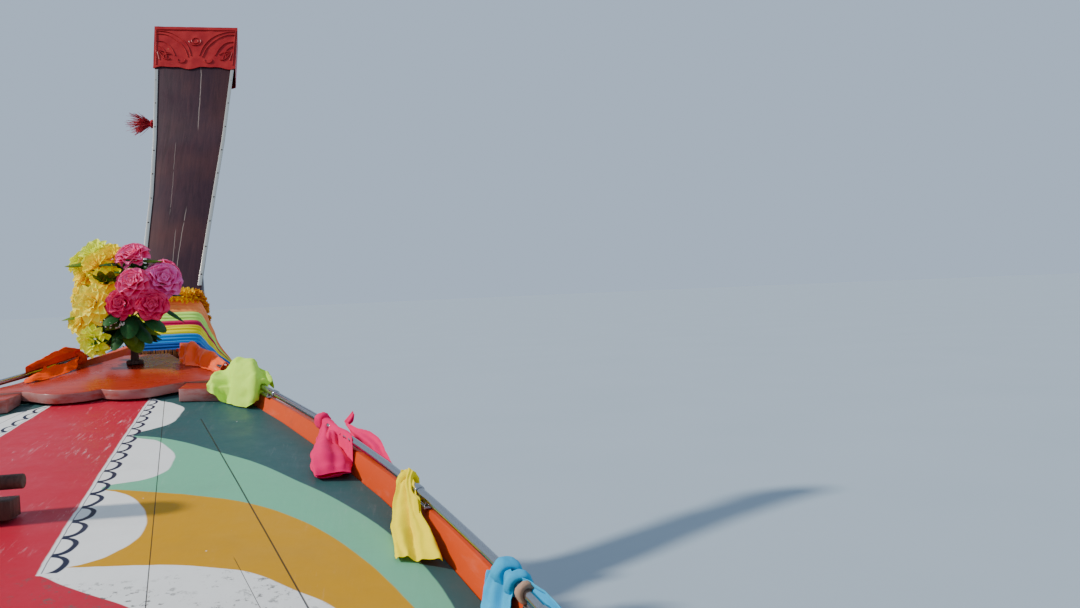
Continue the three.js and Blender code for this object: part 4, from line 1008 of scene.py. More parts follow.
def stemCap():
    c = capSizes
    deselectAll()
    bpy.ops.mesh.primitive_cube_add(size=2, location=(0, 0, 0))
    sheet = newest("stemCapSheet")
    startEdit(sheet, "FACE")
    pickFaces(sheet, lambda middle, normal: normal.z < -0.9)
    bpy.ops.mesh.delete(type="FACE")
    bpy.ops.mesh.select_all(action="SELECT")
    bpy.ops.mesh.subdivide(number_cuts=c["cuts"])
    endEdit()
    for vertex in sheet.data.vertices:
        a, b, up = vertex.co
        share, back = (1 - up) / 2, (1 - b) / 2
        half = lerp(c["halfTop"], c["halfLow"], share) * (1 - c["narrowing"] * back)
        edge = math.sin(6.3 * a + 0.6) + 0.5 * math.sin(13 * a) if abs(b) > 0.99 else math.sin(5 * b)
        w = -c["above"] + share * (c["height"] + c["wave"] * edge * share ** 6)
        dent = c["dent"] * noise.noise(Vector((a * 6, b * 4, share * 5)))
        vertex.co = capPoint(a * half, w, c["stand"] - back * c["depth"] + dent)
    mergeDoubles(sheet, 0.0001)
    addModifier(sheet, "SOLIDIFY", thickness=c["sheet"], offset=-1)
    applyModifiers(sheet)
    parts = [smoothByAngle(sheet, 40)]
    for number, line in enumerate(capRelief()):
        path = [capPoint(u * lerp(1, c["halfLow"] / c["halfTop"], w / c["height"]), w,
                         c["scrollStand"]) for u, w in line]
        parts.append(tubeAlong("capScroll%d" % number, path, c["line"], 1))
    return finishPiece(joinPieces("stemCapEmbossed", parts), capFinish(), "hull", ["stem_cap"])


stemCap()

nailSizes = {"radius": 0.0036, "height": 0.0020, "first": 0.05, "pitch": 0.132, "inset": 0.0068,
             "proud": 0.0032}


def nailRow():
    deselectAll()
    bpy.ops.mesh.primitive_uv_sphere_add(segments=10, ring_count=6, radius=nailSizes["radius"])
    head = newest("nailHead")
    startEdit(head, "FACE")
    pickFaces(head, lambda middle, normal: normal.z > 0.8)
    bpy.ops.transform.resize(value=(1.2, 1.2, 1))
    endEdit()
    head.data.transform(Matrix.Diagonal((1, 1, nailSizes["height"] / nailSizes["radius"], 1)))
    parts, along, start = [], nailSizes["first"], 0.0
    for (x0, y0, z0), (x1, y1, z1) in zip(stripLine, stripLine[1:]):
        a, b = Vector((x0, y0, z0)), Vector((x1, y1, z1))
        length = (b - a).length
        out = Vector((0, -(z1 - z0), y1 - y0)).normalized()
        while along < start + length:
            inward = Vector((nailSizes["inset"], 0, 0))
            place = a.lerp(b, (along - start) / length) - inward + out * nailSizes["proud"]
            parts.append(copyOf(head, "nail", facing(out, place)))
            along += nailSizes["pitch"]
        start += length
    discard(head)
    port = smoothByAngle(joinPieces("stripNailsPort", parts), 60)
    starboard = mergeDoubles(copyOf(port, "stripNailsStarboard", Matrix.Diagonal((-1, 1, 1, 1))))
    iron = metal("nailIron", (0.10, 0.075, 0.06), 0.5, 0.6, (1, 1, 1), 0.6)
    for piece in (port, starboard):
        finishPiece(piece, iron, "hull")


nailRow()
print("stem cap and nails made")


ribbonBands = [  # name, from share, to share, pleats, color
    ("ribbonOrange", 0.000, 0.255, 3, (1.0, 0.30, 0.085)),
    ("ribbonGreen", 0.255, 0.425, 3, (0.56, 0.96, 0.16)),
    ("ribbonMagenta", 0.425, 0.520, 2, (0.56, 0.008, 0.10)),
    ("ribbonYellow", 0.520, 0.690, 3, (0.88, 0.76, 0.0)),
    ("ribbonSkyBlue", 0.690, 0.855, 3, (0.012, 0.25, 0.64)),
    ("ribbonDeepBlue", 0.855, 1.000, 3, (0.006, 0.085, 0.36)),
]
ribbonWrap = {  # (y, z) where the first and the last band cross the post's after and front faces
    "aftFirst": (-5.076, 1.203), "aftLast": (-4.930, 1.034), "frontFirst": (-5.415, 0.985),
    "frontLast": (-5.350, 0.870),
    "flat": 1.02, "spread": 0.27, "thickness": 0.0010,
}
ribbonWidths = [(0.0, 0.100), (0.2, 0.108), (0.45, 0.121), (0.9, 0.156), (1.0, 0.090)]


def ribbonPlace(share, u, lift):
    # one turn round the post: across its after face, forward along starboard,
    # round the front and back along port
    turn = (u % 1.0) * 4
    if turn < 1:
        across, along = lerp(1, -1, turn), 0.0
    elif turn < 2:
        across, along = -1.0, turn - 1
    elif turn < 3:
        across, along = lerp(-1, 1, turn - 2), 1.0
    else:
        across, along = 1.0, 4 - turn
    pull = ease(along / 0.9)
    level = lerp(share, 0.45 + 0.17 * share, pull)
    half = alongTable(ribbonWidths, along) + 0.015 * share * (1 - along)

    def between(first, last):
        return Vector((0, lerp(first[0], last[0], level), lerp(first[1], last[1], level)))

    aft = between(ribbonWrap["aftFirst"], ribbonWrap["aftLast"])
    front = between(ribbonWrap["frontFirst"], ribbonWrap["frontLast"])
    place = aft.lerp(front, along)
    away = (aft - front).normalized() * (1 - 2 * along) * (1 - abs(across) ** 4)
    out = Vector((across ** 3, 0, 0)) + away
    if out.length > 0:
        out.normalize()
    corner = 0.006 * (1 if along in (0.0, 1.0) else 0) * abs(across) ** 6
    return Vector((across * (half - corner), place.y, place.z)) + out * lift


def ribbonBand(name, low, high, pleats, color, number):
    draw = random.Random(40 + number)
    phase = [draw.uniform(0, fullTurn) for _ in range(3)]

    def place(u, v):
        waver = 0.30 * math.sin(fullTurn * u + phase[0]) + 0.18 * math.sin(18.8 * u + phase[1])
        fold = math.sin(math.pi * (pleats * v + waver * math.sin(math.pi * v)))
        slack = 0.35 * math.sin(12.6 * u + phase[2])
        crown = 0.0055 * (abs(fold) ** 0.6) + 0.0055 * (1 - v) + 0.0020 * math.sin(math.pi * v)
        overlap = 0.016 * (v - 0.5)
        return ribbonPlace(low + (high - low) * v + overlap + 0.004 * slack, u, 0.0015 + crown)

    strip = gridSheet(name, 160, 20, place, True)
    addModifier(strip, "SMOOTH", factor=0.5, iterations=2)
    thicken(strip, ribbonWrap["thickness"])
    smoothByAngle(strip, 60)
    # the last value is the painted glow: the ribbon gives off light in its own colour
    cloth = clothFinish(name + "Cloth", color, (1.15, 0.12), 0.5, 0.08, 0.04, 0.12, 0.10)
    finishPiece(strip, cloth, "hull", ["ribbon_wraps"] if number == 0 else ())
    return strip


for number, band in enumerate(ribbonBands):
    ribbonBand(*band, number)


fringeSizes = {
    "count": 110, "from": -0.10, "to": 0.150, "length": (0.022, 0.040), "at": (-4.922, 1.040),
    "slant": 0.9, "turnsAt": 0.11,
    "ends": 18, "endsAcross": (0.096, 0.132), "endsAlong": (-4.935, -4.875), "endsUp": 1.052,
}


def ribbonFringe():
    s = fringeSizes
    draw = random.Random(71)
    strands = []
    for i in range(s["count"]):
        x = lerp(s["from"], s["to"], i / (s["count"] - 1)) + draw.uniform(-0.002, 0.002)
        length = draw.uniform(*s["length"])
        top = Vector((x, s["at"][0] + s["slant"] * max(0.0, x - s["turnsAt"]), s["at"][1]))
        path = [top, top + Vector((draw.uniform(-0.003, 0.003), 0.006, -length * 0.5)),
                top + Vector((draw.uniform(-0.007, 0.007), draw.uniform(0.002, 0.010), -length))]
        strands.append(tubeAlong("fringeStrand", path, draw.uniform(0.0007, 0.0014), 0, knots=2))
    piece = joinPieces("ribbonFringe", strands)
    f = Finish("fringeBrown", 0.8)
    f.color(f.ramp(f.noise(60, 4, 0.6),
                   [(0.3, (0.10, 0.035, 0.012)), (0.6, (0.28, 0.13, 0.045)), (0.8, (0.42, 0.26, 0.12))]))
    f.bump(f.noise(300, 3, 0.6), 0.3, 0.0005)
    finishPiece(piece, f.material, "hull")
    ends = []
    for _ in range(s["ends"]):
        path = [Vector((draw.uniform(*s["endsAcross"]), draw.uniform(*s["endsAlong"]), s["endsUp"]))]
        for _ in range(5):
            ahead = path[-1] + Vector((draw.uniform(0.002, 0.018), draw.uniform(0.008, 0.026), -0.006))
            ahead.z = max(ahead.z, restHeight(ahead.x, ahead.y) - sagAt(ahead.y) + 0.004)
            path.append(ahead)
        ends.append(tubeAlong("ribbonEnd", path, draw.uniform(0.0018, 0.0034), 0, knots=3))
    f = Finish("ribbonEndBlue", 0.7)
    f.color(f.ramp(f.noise(45, 3, 0.6),
                   [(0.35, (0.06, 0.22, 0.50)), (0.55, (0.20, 0.55, 0.80)), (0.75, (0.75, 0.80, 0.82))]))
    f.bump(f.noise(300, 3, 0.6), 0.3, 0.0005)
    finishPiece(joinPieces("ribbonEnds", ends), f.material, "hull")


ribbonFringe()
print("ribbons made")


def petal(name, length, width, cup=0.3, curl=0.5, ruffle=0.0, point=0.5, across=4, along=5, thickness=0.0006):
    # lies along +Y from the origin, hollow side up; curl bends the tip back down, cup lifts the sides
    def place(u, v):
        s = (u - 0.5) * 2
        shape = math.sin(math.pi * clamp(v ** point * 0.93 + 0.05)) ** 0.6
        half = width / 2 * shape
        bend = curl * v * v
        x = s * half
        y = length * (v - bend * 0.25 * v)
        z = cup * half * s * s + length * (0.42 * math.sin(math.pi * v * 0.5) * cup - 0.5 * bend * v)
        z += ruffle * width * math.sin(9 * s + 5 * v) * v
        return Vector((x, y, z))
    piece = gridSheet(name, across, along, place)
    return thicken(piece, thickness)


def flowerHead(name, rings, seed):
    # rings: petal, how many, tilt up from flat, distance from the middle, height, size
    draw = random.Random(seed)
    parts = []
    for shape, count, tilt, offset, height, size in rings:
        start = draw.uniform(0, fullTurn)
        for i in range(count):
            spin = start + fullTurn * i / count + draw.uniform(-0.12, 0.12)
            lean = math.radians(tilt + draw.uniform(-7, 7))
            scale = size * draw.uniform(0.93, 1.07)
            place = (Matrix.Rotation(spin, 4, "Z") @ Matrix.Translation((0, offset, height))
                     @ Matrix.Rotation(lean, 4, "X") @ Matrix.Scale(scale, 4))
            parts.append(copyOf(shape, name + "Petal", place))
    return smoothByAngle(joinPieces(name, parts), 60)


roseRings = [  # count, tilt, offset, height, size
    (3, 86, 0.002, 0.006, 0.62), (4, 78, 0.006, 0.004, 0.74), (5, 66, 0.009, 0.002, 0.86),
    (6, 48, 0.011, 0.000, 1.0),
    (7, 28, 0.012, -0.003, 1.08), (7, 8, 0.012, -0.007, 1.12),
]
roses = [  # place, facing, size, color
    ((-0.023, -4.560, 1.339), (0.10, 0.66, 0.66), 1.02, "pink"),
    ((-0.034, -4.505, 1.258), (0.05, 0.85, 0.40), 0.98, "pink"),
    ((-0.102, -4.550, 1.264), (-0.40, 0.80, 0.35), 1.20, "violet"),
    ((-0.002, -4.500, 1.202), (0.05, 0.95, 0.10), 0.92, "deep"),
    ((-0.080, -4.500, 1.196), (-0.25, 0.95, 0.10), 0.98, "deep"),
    ((-0.085, -4.680, 1.290), (-0.50, -0.60, 0.50), 1.00, "pink"),
    ((-0.020, -4.715, 1.215), (-0.10, -0.95, 0.15), 0.98, "deep"),
    ((0.075, -4.705, 1.300), (0.30, -0.75, 0.50), 0.95, "violet"),
]
starRings = [(5, 76, 0.003, 0.005, 0.55), (8, 60, 0.006, 0.003, 0.80), (9, 40, 0.008, 0.000, 1.0),
             (10, 20, 0.009, -0.003, 1.12), (9, -2, 0.008, -0.007, 1.12)]
starFlowers = [  # place, facing, size, color
    ((0.088, -4.605, 1.352), (0.25, 0.70, 0.65), 0.98, "pale"),
    ((0.046, -4.585, 1.338), (-0.05, 0.80, 0.55), 0.90, "bright"),
    ((0.078, -4.560, 1.318), (0.20, 0.85, 0.40), 0.80, "bright"),
    ((0.112, -4.605, 1.292), (0.70, 0.55, 0.40), 1.00, "bright"),
    ((0.044, -4.540, 1.268), (0.20, 0.90, 0.35), 0.98, "bright"),
    ((0.078, -4.525, 1.205), (0.30, 0.92, 0.15), 1.16, "cream"),
    ((0.130, -4.580, 1.158), (0.65, 0.65, 0.05), 0.92, "cream"),
    ((0.092, -4.550, 1.098), (0.30, 0.85, -0.20), 0.92, "pale"),
    ((0.140, -4.640, 1.230), (0.90, 0.10, 0.30), 0.96, "cream"),
    ((0.110, -4.700, 1.165), (0.50, -0.80, 0.10), 0.95, "bright"),
    ((0.035, -4.725, 1.130), (0.10, -0.95, -0.05), 0.88, "pale"),
    ((0.150, -4.665, 1.330), (0.80, -0.20, 0.50), 0.80, "pale"),
]
leafSpots = [  # place of the stalk, way it points, length, tone
    ((0.050, -4.555, 1.300), (-0.45, 0.65, -0.05), 0.075, "olive"),
    ((0.005, -4.560, 1.312), (-0.75, 0.50, -0.10), 0.060, "dark"),
    ((0.020, -4.510, 1.185), (0.20, 0.80, -0.25), 0.070, "dark"),
    ((-0.020, -4.500, 1.165), (-0.10, 0.75, -0.55), 0.075, "dark"),
    ((-0.070, -4.520, 1.170), (-0.60, 0.55, -0.30), 0.085, "dark"),
    ((-0.040, -4.515, 1.140), (-0.65, 0.55, -0.45), 0.075, "dark"),
    ((0.020, -4.540, 1.130), (0.25, 0.60, -0.60), 0.070, "dark"),
    ((-0.005, -4.540, 1.130), (-0.35, 0.65, -0.50), 0.065, "olive"),
    ((0.060, -4.570, 1.120), (0.55, 0.60, -0.50), 0.070, "olive"),
    ((0.105, -4.600, 1.330), (0.75, 0.45, 0.20), 0.072, "olive"),
    ((0.120, -4.590, 1.180), (0.90, 0.35, 0.10), 0.070, "olive"),
    ((-0.060, -4.530, 1.225), (-0.85, 0.35, 0.05), 0.060, "dark"),
    ((-0.050, -4.560, 1.330), (-0.90, 0.25, 0.25), 0.060, "olive"),
    ((-0.080, -4.640, 1.190), (-0.80, -0.20, -0.30), 0.080, "dark"),
    ((0.000, -4.680, 1.150), (-0.20, -0.70, -0.60), 0.080, "dark"),
    ((0.080, -4.660, 1.130), (0.50, -0.60, -0.55), 0.080, "olive"),
    ((0.120, -4.650, 1.260), (0.80, -0.50, 0.10), 0.075, "dark"),
    ((-0.060, -4.700, 1.240), (-0.70, -0.65, 0.10), 0.075, "dark"),
    ((0.030, -4.690, 1.340), (0.10, -0.80, 0.50), 0.075, "olive"),
]
flowerMiddle = Vector((0.020, -4.610, 1.150))


skirtSizes = {
    "low": {"count": 26, "rise": (-0.75, 0.10), "out": 0.035, "up": (-0.030, 0.035),
            "length": (0.070, 0.095)},
    "high": {"count": 22, "turn": 2.4, "steep": 0.8, "out": 0.045, "from": 0.05, "over": 0.115,
             "length": (0.055, 0.070)},
    "ring": {"count": 12, "at": (0.012, -4.585, 1.300), "out": (0.03, 0.02), "up": 0.012, "rise": 0.25,
             "length": 0.062},
}
underRoses = [  # place of the stalks, length, tone, ways they point
    ((-0.018, -4.552, 1.283), 0.058, "dark",
     ((-0.7, 0.15, 0.7), (0.7, 0.15, 0.7), (0.0, 0.2, 1.0), (-0.35, 0.2, 0.9),
                                              (0.35, 0.2, 0.9), (0.9, 0.1, 0.3))),
    ((0.040, -4.520, 1.262), 0.050, "olive",
     ((-0.2, 0.3, 0.9), (0.4, 0.3, 0.8), (0.1, 0.3, 0.9), (-0.5, 0.3, 0.7))),
]
stalkSizes = {"foot": (0, -4.61, 1.112), "radius": 0.0016, "leafRadius": 0.0011, "below": 0.012,
              "leafBelow": 0.02}


def leafSkirt():
    # leaves that fill the bunch between the heads, as place, way, length and tone
    draw = random.Random(12)
    low, high, ring = (skirtSizes[k] for k in ("low", "high", "ring"))
    skirt = []
    for number in range(low["count"]):
        turn = fullTurn * number / low["count"] + draw.uniform(-0.1, 0.1)
        way = (math.cos(turn), math.sin(turn), draw.uniform(*low["rise"]))
        at = flowerMiddle + Vector((way[0] * low["out"], way[1] * low["out"], draw.uniform(*low["up"])))
        skirt.append((tuple(at), way, draw.uniform(*low["length"]), "dark" if number % 3 else "olive"))
    for number in range(high["count"]):
        turn, rise = high["turn"] * number, draw.uniform(0.0, 1.0)
        way = (math.cos(turn), math.sin(turn), rise * high["steep"])
        at = flowerMiddle + Vector((way[0] * high["out"], way[1] * high["out"],
                                    high["from"] + rise * high["over"]))
        skirt.append((tuple(at), way, draw.uniform(*high["length"]), "dark" if number % 2 else "olive"))
    for number in range(ring["count"]):
        turn = fullTurn * number / ring["count"]
        way = (math.cos(turn), math.sin(turn), ring["rise"])
        (x, y, z), (outX, outY) = ring["at"], ring["out"]
        at = (x + outX * way[0], y + outY * way[1], z + ring["up"] * (number % 3))
        skirt.append((at, way, ring["length"], "olive" if number % 3 == 1 else "dark"))
    for at, length, tone, ways in underRoses:
        skirt += [(at, way, length, tone) for way in ways]
    return skirt


def flowerHeads():
    petals = {
        "pink": petalFinish("rosePink", (0.62, 0.006, 0.12), (0.88, 0.030, 0.24), (1.0, 0.22, 0.44)),
        "violet": petalFinish("roseViolet", (0.58, 0.012, 0.22), (0.80, 0.055, 0.36), (0.92, 0.26, 0.56)),
        "deep": petalFinish("roseDeep", (0.42, 0.002, 0.05), (0.72, 0.008, 0.12), (0.90, 0.09, 0.24)),
        # on the star flowers the last value is the painted glow: the petals give off light in their own
        # colour
        "bright": petalFinish("starYellow", (0.80, 0.44, 0.0), (1.0, 0.74, 0.0), (1.0, 0.86, 0.0), 0.3, 0.10),
        "cream": petalFinish("starCream", (0.84, 0.50, 0.0), (1.0, 0.82, 0.0), (1.0, 0.92, 0.12), 0.3, 0.10),
        "pale": petalFinish("starPale", (0.50, 0.56, 0.0), (0.88, 0.88, 0.0), (0.88, 0.96, 0.14), 0.3, 0.10),
    }
    rosePetal = petal("rosePetal", 0.041, 0.050, 0.60, 0.60, 0.030, 0.60, 6, 5)
    starPetal = petal("starPetal", 0.044, 0.029, 0.42, 0.30, 0.035, 0.80, 4, 5)
    made = {key: [] for key in petals}
    for number, (at, way, size, color) in enumerate(roses):
        head = flowerHead("roseHead", [(rosePetal, *ring) for ring in roseRings], 100 + number)
        head.data.transform(facing(way, at, number * 1.3) @ Matrix.Scale(size, 4))
        made[color].append(head)
    for number, (at, way, size, color) in enumerate(starFlowers):
        head = flowerHead("starHead", [(starPetal, *ring) for ring in starRings], 200 + number)
        head.data.transform(facing(way, at, number * 0.9) @ Matrix.Scale(size, 4))
        made[color].append(head)
    discard(rosePetal, starPetal)
    for number, (color, heads) in enumerate(made.items()):
        piece = joinPieces("bouquet" + color.title(), heads)
        finishPiece(piece, petals[color], "hull", ["bouquet"] if number == 0 else ())


def flowerLeaves():
    leaves = {
        # the last value is the painted glow: the leaves give off light in their own colour
        "dark": petalFinish("leafDark", (0.006, 0.036, 0.010), (0.012, 0.075, 0.018), (0.030, 0.12, 0.026),
                            0.6, 0.05),
        "olive": petalFinish("leafOlive", (0.045, 0.095, 0.006), (0.085, 0.17, 0.008), (0.17, 0.24, 0.020),
                             0.6, 0.08),
    }
    leafShape = petal("leafShape", 1.0, 0.66, -0.45, 0.35, 0.03, 0.72, 4, 7, 0.008)
    skirt = leafSkirt()
    for tone, finish in leaves.items():
        parts = []
        for at, way, length, kind in leafSpots + skirt:
            if kind == tone:
                turn = Vector(way).to_track_quat("Y", "Z").to_matrix().to_4x4()
                parts.append(copyOf(leafShape, "leaf",
                                    Matrix.Translation(at) @ turn @ Matrix.Scale(length, 4)))
        piece = smoothByAngle(joinPieces("bouquetLeaves" + tone.title(), parts), 50)
        finishPiece(piece, finish, "hull")
    discard(leafShape)


def flowerStalks():
    # wired stalks meet at the peg
    s = stalkSizes
    foot, root = Vector(s["foot"]), flowerMiddle - upward * s["leafBelow"]
    stalks = []
    for at, way, _, _ in roses + starFlowers:
        tip = Vector(at) - Vector(way).normalized() * s["below"]
        path = [foot, foot.lerp(flowerMiddle, 0.6), flowerMiddle.lerp(tip, 0.45), tip]
        stalks.append(tubeAlong("stalk", path, s["radius"], 1, knots=4))
    for at, _, _, _ in leafSpots:
        path = [root, flowerMiddle.lerp(Vector(at), 0.6), Vector(at)]
        stalks.append(tubeAlong("stalk", path, s["leafRadius"], 0, knots=3))
    f = Finish("stalkGreen", 0.55)
    f.color(f.mix(f.mask(f.noise(40, 4, 0.6), 0.4, 0.6), (0.030, 0.075, 0.018), (0.075, 0.11, 0.030)))
    f.bump(f.noise(200, 3, 0.6), 0.3, 0.0004)
    finishPiece(joinPieces("bouquetStalks", stalks), f.material, "hull")


pegSizes = {"foot": 1.022, "top": 1.118, "radius": 0.0105, "collar": 0.024, "collarHigh": 0.012,
            "at": (0.0, -4.61),
            "swell": 0.10, "taper": 0.12}


def flowerPeg():
    # a turned stick standing in a low collar
    p = pegSizes
    deselectAll()
    bpy.ops.mesh.primitive_cylinder_add(vertices=28, radius=p["radius"], depth=p["top"] - p["foot"])
    stick = newest("pegStick")
    startEdit(stick, "FACE")
    pickFaces(stick, lambda middle, normal: normal.z > 0.9)
    bpy.ops.mesh.inset(thickness=0.002)
    bpy.ops.mesh.extrude_region_move(TRANSFORM_OT_translate={"value": (0, 0, 0.003)})
    endEdit()
    for vertex in stick.data.vertices:
        share = vertex.co.z / (p["top"] - p["foot"])
        girth = 1 + p["swell"] * math.sin(9 * share) - p["taper"] * share
        vertex.co.x *= girth
        vertex.co.y *= girth
    stick.data.transform(Matrix.Translation((*p["at"], (p["top"] + p["foot"]) / 2)))
    collar = roundedDisc("pegCollar", 32, p["collar"], p["collarHigh"], 0.005, 3)
    collar.data.transform(Matrix.Translation((*p["at"], p["foot"] + p["collarHigh"] * 0.3)))
    piece = smoothByAngle(joinPieces("flowerPegTurned", [stick, collar]), 40)
    finishPiece(piece, finishes["dark_wood"], "hull", ["flower_peg"])


sprigSizes = {"buds": 26, "bud": 0.0028, "stem": 0.0004, "root": (0, -0.030, -0.016),
              "at": [((0.028, -4.488, 1.150), 0.022), ((0.000, -4.492, 1.142), 0.018),
                     ((-0.010, -4.540, 1.300), 0.020)]}


def bouquetSprigs():
    # sprigs of tiny white blossom
    draw = random.Random(9)
    deselectAll()
    bpy.ops.mesh.primitive_ico_sphere_add(subdivisions=1, radius=sprigSizes["bud"])
    bud = newest("sprigBud")
    for vertex in bud.data.vertices:
        vertex.co *= 1 + 0.25 * math.sin(5 * math.atan2(vertex.co.y, vertex.co.x))
    parts, stems = [], []
    for centre, spread in sprigSizes["at"]:
        for _ in range(sprigSizes["buds"]):
            away = Vector((draw.gauss(0, spread * 0.55), draw.gauss(0, 0.006), draw.gauss(0, spread * 0.3)))
            at = Vector(centre) + away
            parts.append(copyOf(bud, "bud", Matrix.Translation(at) @ Matrix.Scale(draw.uniform(0.7, 1.2), 4)))
            root = Vector(centre) + Vector(sprigSizes["root"])
            path = [root, root.lerp(at, 0.6) + upward * 0.003, at]
            stems.append(tubeAlong("sprigStem", path, sprigSizes["stem"], 0, knots=2))
    discard(bud)
    f = Finish("blossomWhite", 0.7)
    f.color(f.mix(f.mask(f.noise(90, 3, 0.6), 0.4, 0.6), (0.62, 0.64, 0.52), (0.82, 0.82, 0.76)))
    f.bump(f.noise(400, 2, 0.5), 0.3, 0.0004)
    finishPiece(smoothByAngle(joinPieces("bouquetBlossom", parts), 60), f.material, "hull")
    f = Finish("sprigGreen", 0.6)
    f.color(f.mix(f.noise(60, 3, 0.6), (0.06, 0.11, 0.03), (0.10, 0.16, 0.05)))
    f.bump(f.noise(200, 3, 0.6), 0.3, 0.0004)
    finishPiece(joinPieces("bouquetSprigStems", stems), f.material, "hull")


flowerPeg()
flowerHeads()
flowerLeaves()
flowerStalks()
bouquetSprigs()
print("bouquet made")


garlandSizes = {
    "count": 30, "middle": (0, -5.24, 1.12), "darkerFrom": -0.094,
    "ring": [(0.0, -5.062, 1.222), (-0.055, -5.062, 1.224), (-0.098, -5.085, 1.212), (-0.106, -5.145, 1.172),
             (-0.098, -5.220, 1.120), (-0.080, -5.310, 1.065), (-0.045, -5.380, 1.030), (0.0, -5.395, 1.028)],
}
marigoldRings = [  # count, tilt, offset, height, size
    (4, 82, 0.001, 0.008, 0.9), (7, 64, 0.003, 0.006, 1.0), (9, 44, 0.005, 0.003, 1.0),
    (10, 24, 0.006, 0.000, 1.05),
    (9, 2, 0.006, -0.003, 1.0), (7, -30, 0.004, -0.006, 0.8),
]


def garlandPlace(u):
    half = [Vector(p) for p in garlandSizes["ring"]]
    along = 1 - abs((u % 1.0) * 2 - 1)
    at = onPath(half, along)
    return at if u < 0.5 else Vector((-at.x, at.y, at.z))


def garland():
    draw = random.Random(5)
    frill = petal("frill", 0.022, 0.011, 0.5, 0.3, 0.04, 0.7, 3, 2, 0.0005)
    rings = [(frill, *ring) for ring in marigoldRings]
    models = [flowerHead("marigoldModel%d" % i, rings, 300 + i) for i in range(3)]
    yellow, brown = [], []
    for i in range(garlandSizes["count"]):
        u = i / garlandSizes["count"]
        at = garlandPlace(u) + Vector([draw.uniform(-0.003, 0.003) for _ in range(3)])
        way = (at - Vector(garlandSizes["middle"])).normalized()
        way += Vector((draw.uniform(-0.3, 0.3), draw.uniform(-0.2, 0.2), draw.uniform(0.0, 0.5)))
        size = draw.uniform(0.85, 1.15) * (1.12 if at.y > -5.12 else 0.9)
        head = copyOf(models[i % 3], "marigold", facing(way, at, draw.uniform(0, 6)) @ Matrix.Scale(size, 4))
        # heads on the starboard flank of the post, the side away from the sun, get the darker orange finish
        (brown if at.x < garlandSizes["darkerFrom"] else yellow).append(head)
    discard(frill, *models)
    bright = petalFinish("marigoldYellow", (0.66, 0.24, 0.0), (0.90, 0.50, 0.0), (0.95, 0.66, 0.004), 0.15)
    darkerPetals = petalFinish("marigoldOrange", (0.42, 0.11, 0.0), (0.68, 0.24, 0.002), (0.78, 0.38, 0.008), 0.2)
    finishPiece(joinPieces("garlandYellow", yellow), bright, "hull", ["garland"])
    finishPiece(joinPieces("garlandOrange", brown), darkerPetals, "hull")


garland()
print("garland made")


tasselSizes = {"knot": (0.170, -5.735, 1.965), "strands": 150, "reach": 0.085, "strand": 0.0011,
               "ring": 0.011, "cord": 0.007}


def tassel():
    draw = random.Random(17)
    knot = Vector(tasselSizes["knot"])
    deselectAll()
    bpy.ops.mesh.primitive_torus_add(major_segments=24, minor_segments=10, major_radius=tasselSizes["ring"],
                                     minor_radius=tasselSizes["cord"])
    bundle = newest("tasselKnot")
    for vertex in bundle.data.vertices:
        turn = math.atan2(vertex.co.y, vertex.co.x)
        vertex.co *= 1 + 0.12 * math.sin(7 * turn + vertex.co.z * 500)
    bundle.data.transform(facing((1, 0.1, 0.1), knot))
    parts = [smoothByAngle(bundle, 60)]
    for _ in range(tasselSizes["strands"]):
        spread = draw.uniform(-1.0, 1.0)
        way = Vector((1.0, draw.gauss(0, 0.32), spread * 0.75 + 0.10)).normalized()
        reach = tasselSizes["reach"] * draw.uniform(0.7, 1.2) * (1.15 - 0.3 * abs(spread))
        path, at = [knot + Vector((0, draw.uniform(-0.006, 0.006), draw.uniform(-0.008, 0.008)))], knot.copy()
        for _ in range(3):
            way = (way + Vector((0, draw.gauss(0, 0.12), draw.gauss(0, 0.14) - 0.05))).normalized()
            at = at + way * reach / 3
            path.append(at.copy())
        width = tasselSizes["strand"] * draw.uniform(0.7, 1.4)
        parts.append(tubeAlong("tasselStrand", path, width, 0, radii=[1, 1, 0.8, 0.4], knots=3))
    f = Finish("tasselRed", 0.8)
    f.color(f.mix(f.mask(f.noise(70, 4, 0.6), 0.35, 0.65), (0.30, 0.006, 0.014), (0.60, 0.016, 0.030)))
    f.bump(f.noise(400, 3, 0.6), 0.3, 0.0004)
    f.set(Sheen_Weight=0.3, Sheen_Roughness=0.4)
    finishPiece(joinPieces("frayedTassel", parts), f.material, "hull", ["tassel"])


tassel()
print("tassel made")


clothColors = {
    "lime": (0.60, 0.92, 0.09), "pink": (0.84, 0.006, 0.13), "yellow": (0.95, 0.74, 0.0),
    "blue": (0.030, 0.40, 0.68),
    "orange": (0.98, 0.085, 0.0), "satin": (1.0, 0.13, 0.02),
}


clothSizes = {"thickness": 0.0009, "reach": 0.003, "clear": 0.0025, "pouchTurn": 6.283, "lip": 0.096}


def loftedCloth(name, rows, folds, deep, seed, across=44, along=40, crumple=0.0025, laid=True, under=None):
    # drawn through rows of points from the gathered end to the hem, with folds running down it
    draw = random.Random(seed)
    phase = [draw.uniform(0, fullTurn) for _ in range(4)]
    paths = [[Vector(p) for p in row] for row in rows]

    def flatPlace(u, v):
        return onPath([onPath(path, u) for path in paths], v)

    def place(u, v):
        at = flatPlace(u, v)
        out = (flatPlace(min(u + 0.03, 1), v) - flatPlace(max(u - 0.03, 0), v)).cross(
            flatPlace(u, min(v + 0.03, 1)) - flatPlace(u, max(v - 0.03, 0)))
        out = out.normalized() if out.length > 0 else Vector((0, 0, 1))
        turn = folds * math.pi * (u + 0.10 * math.sin(3.1 * v + phase[0]))
        ridge = math.sin(turn + phase[1]) + 0.45 * math.sin(2.3 * turn + 3.5 * v + phase[2])
        spot = Vector((at.x * 45, at.y * 45, at.z * 45 + seed))
        at += out * alongTable(deep, v) * ridge
        at += noise.noise_vector(spot) * crumple + noise.noise_vector(spot * 2.7) * crumple * 0.4
        if laid:
            at.z = max(at.z, restHeight(at.x, at.y, clothSizes["reach"], under) + clothSizes["clear"])
        return at

    piece = gridSheet(name, across, along, place)
    addModifier(piece, "SMOOTH", factor=0.5, iterations=1)
    return thicken(piece, clothSizes["thickness"])


